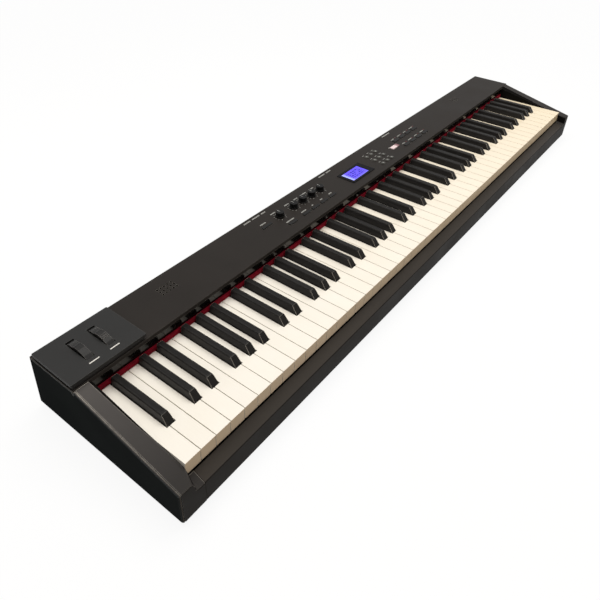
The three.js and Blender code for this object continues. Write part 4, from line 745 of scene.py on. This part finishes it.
# %% Print the panel
# How far back a row of labels lies, how high its letters are, and where each label begins and ends:
# for the function buttons, for the knobs and along the rear edge
LABEL_ROWS = (
    (FUNCTION_Y + 7.5, 2.4, ((395, 413.5), (434, 447), (463, 467), (487, 493), (512, 520))),
    (KNOB_Y + 14.5, 2.2, ((395.5, 408), (432, 443), (457.5, 468), (475, 492), (500, 513))),
    (225.5, 2.6, ((346, 362), (366, 384), (388, 398), (549, 567), (572, 586), (772, 801))))
# The same for the one label of the power button and the one of the lit button
SINGLE_LABELS = ((204, 2.2, (361, 374)), (189, 2.0, (736, 741)))
# The tone buttons' labels are longer in every other column
TONE_LABEL_ENDS, TONE_LETTER = ((-7, 4), (-7, 6)), 2.0
CURSOR_LABEL_HALF, CURSOR_LABEL_Y, CURSOR_LETTER = 2.6, 8, 1.3
INK_SINK = 0.02

print_layer = bmesh.new()
ink_z = PANEL_TOP - INK_SINK
for y, letter, labels in LABEL_ROWS:
    for left, right in labels:
        add_word(print_layer, left, right, y, ink_z, letter)
for column in range(TONE_COLUMNS):
    left, right = TONE_LABEL_ENDS[column % 2]
    for row_y in TONE_ROWS:
        x = TONE_LABEL_X + TONE_STEP_X * column
        add_word(print_layer, x + left, x + right, row_y + TONE_MARK_Y, ink_z, TONE_LETTER)
for column in range(3):
    for row in range(3):
        x, y = CURSOR_X + CURSOR_STEP_X * column, CURSOR_Y + CURSOR_STEP_Y * (row - 1)
        add_word(print_layer, x - CURSOR_LABEL_HALF, x + CURSOR_LABEL_HALF, y + CURSOR_LABEL_Y, ink_z,
                 CURSOR_LETTER)
for y, letter, (left, right) in SINGLE_LABELS:
    add_word(print_layer, left, right, y, ink_z, letter)
panel_print = add_piece("panel_print", print_layer, screen_print_ink)
print("blocks printed:", len(panel_print.data.polygons) // 6)

# %% [markdown]
# Each knob turns through 300 degrees, and eleven ticks round it show how far. The ticks are printed
# too, the first and the last one longer than the rest.

# %% Print the knob scales
TICKS, FIRST_TICK, TICK_STEP = 11, -150, 30
TICK_CIRCLE, TICK_WIDTH, TICK_LENGTH, END_TICK_LENGTH = 9.2, 0.6, 1.6, 2.4

scale_layer = bmesh.new()
for x in KNOB_X:
    for tick in range(TICKS):
        angle = math.radians(FIRST_TICK + TICK_STEP * tick)
        length = END_TICK_LENGTH if tick in (0, TICKS - 1) else TICK_LENGTH
        middle = TICK_CIRCLE + length / 2
        add_block(scale_layer, x + middle * math.sin(angle), KNOB_Y + middle * math.cos(angle), ink_z,
                  TICK_WIDTH, length, INK_THICKNESS, -angle)
knob_scales = add_piece("knob_scales", scale_layer, screen_print_ink)
print("ticks:", len(knob_scales.data.polygons) // 6)

# %% [markdown]
# In front of each wheel a single short white line is printed on the plate.

# %% Print the plate
WHEEL_LINES, WHEEL_LINE_Y, WHEEL_LINE_WIDTH = ((7.6, 21.5), (37.1, 50.6)), 160, 1.5

plate_layer = bmesh.new()
for left, right in WHEEL_LINES:
    add_block(plate_layer, (left + right) / 2, WHEEL_LINE_Y, PLATE_TOP - INK_SINK, right - left,
              WHEEL_LINE_WIDTH, INK_THICKNESS)
plate_print = add_piece("plate_print", plate_layer, double_print_ink)
print("wheel lines:", len(plate_print.data.polygons) // 6)

# %% [markdown]
# ## Knob pointers
# The groove in the top of each knob is filled with white paint to just below its rim. The filling
# turns with its knob.

# %% Fill the pointer grooves
POINTER_FROM_MIDDLE, POINTER_SINK = 3.4, 0.55
POINTER_WIDTH, POINTER_LENGTH, POINTER_HEIGHT = 0.9, 6.4, 0.45

for number, x in enumerate(KNOB_X, 1):
    knob_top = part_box(f"knob_{number}")[1].z / MM - FIRST_KEY.z
    filling = bmesh.new()
    add_block(filling, x, KNOB_Y + POINTER_FROM_MIDDLE, knob_top - POINTER_SINK, POINTER_WIDTH,
              POINTER_LENGTH, POINTER_HEIGHT)
    add_piece(f"knob_{number}_pointer", filling, screen_print_ink, body=f"knob_{number}", rounding_mm=0.1)
print("pointers filled:", len(KNOB_X))

# %% [markdown]
# ## Marks on the buttons
# The nine small buttons carry plain signs: arrow heads on the four beside the middle one, and small
# squares, set on their corners, on the rest. A lamp the size of a pin head sits beside each tone
# button.

# %% Mark the buttons
def add_arrow(builder, x, y, z, size, turn):
    corners = [(0, size), (-size * 0.9, -size * 0.6), (size * 0.9, -size * 0.6)]
    rim = []
    for height in (0, INK_THICKNESS):
        rim.append([builder.verts.new(from_key(
            x + u * math.cos(turn) - v * math.sin(turn), y + u * math.sin(turn) + v * math.cos(turn),
            z + height)) for u, v in corners])
    builder.faces.new(rim[1])
    builder.faces.new(reversed(rim[0]))
    for i in range(3):
        j = (i + 1) % 3
        builder.faces.new((rim[0][i], rim[0][j], rim[1][j], rim[1][i]))


# How far each arrow is turned, by the row and the column of its button
ARROW_TURNS = {(0, 1): math.pi, (1, 0): math.pi / 2, (1, 2): -math.pi / 2, (2, 1): 0}
ARROW_SIZE, DOT_SIZE = 1.6, 2.2
cursor_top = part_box("cursor_buttons")[1].z / MM - FIRST_KEY.z
sign_z = cursor_top - INK_SINK
signs = bmesh.new()
for row in range(3):
    for column in range(3):
        x, y = CURSOR_X + CURSOR_STEP_X * column, CURSOR_Y + CURSOR_STEP_Y * (row - 1)
        if (row, column) in ARROW_TURNS:
            add_arrow(signs, x, y, sign_z, ARROW_SIZE, ARROW_TURNS[row, column])
        else:
            add_block(signs, x, y, sign_z, DOT_SIZE, DOT_SIZE, INK_THICKNESS, math.pi / 4)
add_piece("button_signs", signs, screen_print_ink, body="cursor_buttons")
print("signs at", round(cursor_top, 2), "mm")


# %% Set the tone buttons' lamps
def add_lens(builder, place, radius):
    sides = 14
    profile = ((1.0, -0.4), (1.0, 0.25), (0.82, 0.6), (0.45, 0.85), (0.12, 0.92))
    rows = [[builder.verts.new(place + Vector((
        math.cos(2 * math.pi * i / sides) * r * radius,
        math.sin(2 * math.pi * i / sides) * r * radius, z * radius)))
        for i in range(sides)] for r, z in profile]
    for lower, upper in zip(rows, rows[1:]):
        for i in range(sides):
            j = (i + 1) % sides
            builder.faces.new((lower[i], lower[j], upper[j], upper[i]))
    builder.faces.new(rows[-1])
    builder.faces.new(reversed(rows[0]))


LAMP_RADIUS = 1.1 * MM
lamps = bmesh.new()
for column in range(TONE_COLUMNS):
    for row_y in TONE_ROWS:
        place = from_key(TONE_LAMP_X + TONE_STEP_X * column, row_y + TONE_MARK_Y, PANEL_TOP)
        add_lens(lamps, place, LAMP_RADIUS)
add_piece("tone_lamps", lamps, dyed_epoxy, smooth=True)
print("lamps set:", TONE_COLUMNS * len(TONE_ROWS))

# %% [markdown]
# ## Screws
# The sheet-steel bottom and the rear panel are held by pan-head screws with a cross recess, in
# black oxide, a thin dark film grown on the steel. Every ring of the head has the same number of
# points, so the recess is only a ring whose radius follows a cross.

# %% Make the black oxide
black_oxide_steel, tree = new_material("black_oxide_steel")
place = add_node(tree, "TexCoord").outputs["Object"]
film = add_node(tree, "TexNoise", {"Scale": per(2.5), "Detail": 4}, {"Vector": place})
film_tone = add_node(tree, "Mix", {"data_type": "RGBA", 6: linear("#2c2c2f"), 7: linear("#4a494a")},
                     {0: film.outputs[0]})
film_rough = add_node(tree, "MapRange", {"To Min": 0.35, "To Max": 0.6}, {"Value": film.outputs[0]})
film_bump = add_node(tree, "Bump", {"Strength": 0.3, "Distance": 0.02 * MM}, {"Height": film.outputs[0]})
shader = add_node(tree, "BsdfPrincipled", {"Metallic": 1}, {
    "Base Color": film_tone.outputs[2], "Roughness": film_rough.outputs[0],
    "Normal": film_bump.outputs[0]})
add_node(tree, "OutputMaterial", {}, {"Surface": shader.outputs[0]})
print("oxide film drawn with 2.5 mm clouds")


# %% Turn the screw heads
def cross_radius(angle, arm, half_width):
    along = max(abs(math.cos(angle)), abs(math.sin(angle)))
    across = max(min(abs(math.cos(angle)), abs(math.sin(angle))), 1e-6)
    return min(arm / along, half_width / across)


def add_screw(builder, place, axis, head_radius=3.0):
    turn = Vector((0, 0, 1)).rotation_difference(Vector(axis)).to_matrix()
    sides = 32
    angles = [2 * math.pi * i / sides for i in range(sides)]
    rings = [
        [(head_radius, 0.0)] * sides,
        [(head_radius, 0.5)] * sides,
        [(head_radius * 0.88, 1.1)] * sides,
        [(head_radius * 0.7, 1.4)] * sides,
        [(cross_radius(a, head_radius * 0.55, head_radius * 0.16), 1.45) for a in angles],
        [(cross_radius(a, head_radius * 0.42, head_radius * 0.12), 0.4) for a in angles]]
    rows = [[builder.verts.new(place + turn @ (Vector((r * math.cos(a), r * math.sin(a), z)) * MM))
             for a, (r, z) in zip(angles, ring)] for ring in rings]
    for lower, upper in zip(rows, rows[1:]):
        for i in range(sides):
            j = (i + 1) % sides
            builder.faces.new((lower[i], lower[j], upper[j], upper[i]))
    builder.faces.new(rows[-1])
    builder.faces.new(reversed(rows[0]))


BOTTOM_SCREW_X = (-0.58, -0.35, -0.12, 0.12, 0.35, 0.58)
FROM_FRONT_EDGE, FROM_REAR_EDGE = 0.022, 0.03
floor_low, floor_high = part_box("bottom_case")
screws = bmesh.new()
for x in BOTTOM_SCREW_X:
    for y in (floor_low.y + FROM_FRONT_EDGE, floor_high.y - FROM_REAR_EDGE):
        add_screw(screws, Vector((x, y, floor_low.z)), (0, 0, -1))
add_piece("bottom_screws", screws, black_oxide_steel)
print("screw heads under the case:", 2 * len(BOTTOM_SCREW_X))

# %% [markdown]
# The top of the rear panel is a little nearer the player than its foot, so its screws are set square
# to its own widest face. Their heights are chosen, and the face's plane then gives how far back each
# one sits.

# %% Screw the rear panel
REAR_SCREW_X, REAR_SCREW_Z = (-0.585, -0.34, -0.11, 0.11, 0.34, 0.585), (0.022, 0.082)
SCREW_SINK = 0.3 * MM
rear_faces = [f for f in nodes["rear_panel"].data.polygons if f.normal.y > 0.9]
rear_face = max(rear_faces, key=lambda face: face.area)
rear_screw_heads = bmesh.new()
for x in REAR_SCREW_X:
    for z in REAR_SCREW_Z:
        point = Vector((x, 0, z))
        point.y = (rear_face.normal.dot(rear_face.center) - rear_face.normal.x * x
                   - rear_face.normal.z * z) / rear_face.normal.y
        add_screw(rear_screw_heads, point - rear_face.normal * SCREW_SINK, rear_face.normal)
add_piece("rear_screws", rear_screw_heads, black_oxide_steel)
print("rear screws lean by", round(math.degrees(math.asin(rear_face.normal.z)), 1), "degrees")

# %% [markdown]
# Inside each square port a tongue carries the contacts. Plated strips lie on top of it.

# %% Put the tongues into the ports
FIRST_PORT_X, PORT_STEP, BOARD_PAST_PORT = 556, 24, 14
TONGUE_Y, TONGUE_Z, TONGUE_SIZE = 230, -38.0, (7.0, 12, 2.0)
CONTACTS, CONTACT_STEP, CONTACT_Z, CONTACT_SIZE = 4, 1.6, -36.05, (0.9, 11, 0.15)
board_right = board_high.x / MM - FIRST_KEY.x
port_count = round((board_right - BOARD_PAST_PORT - FIRST_PORT_X) / PORT_STEP) + 1
tongues, contacts = bmesh.new(), bmesh.new()
for number in range(port_count):
    x = FIRST_PORT_X + PORT_STEP * number
    add_block(tongues, x, TONGUE_Y, TONGUE_Z, *TONGUE_SIZE)
    for strip in range(CONTACTS):
        strip_x = x + CONTACT_STEP * (strip - (CONTACTS - 1) / 2)
        add_block(contacts, strip_x, TONGUE_Y, CONTACT_Z, *CONTACT_SIZE)
add_piece("port_tongues", tongues, chassis_nylon, rounding_mm=0.2)
add_piece("port_contacts", contacts, drawn_steel)
print("ports:", port_count)
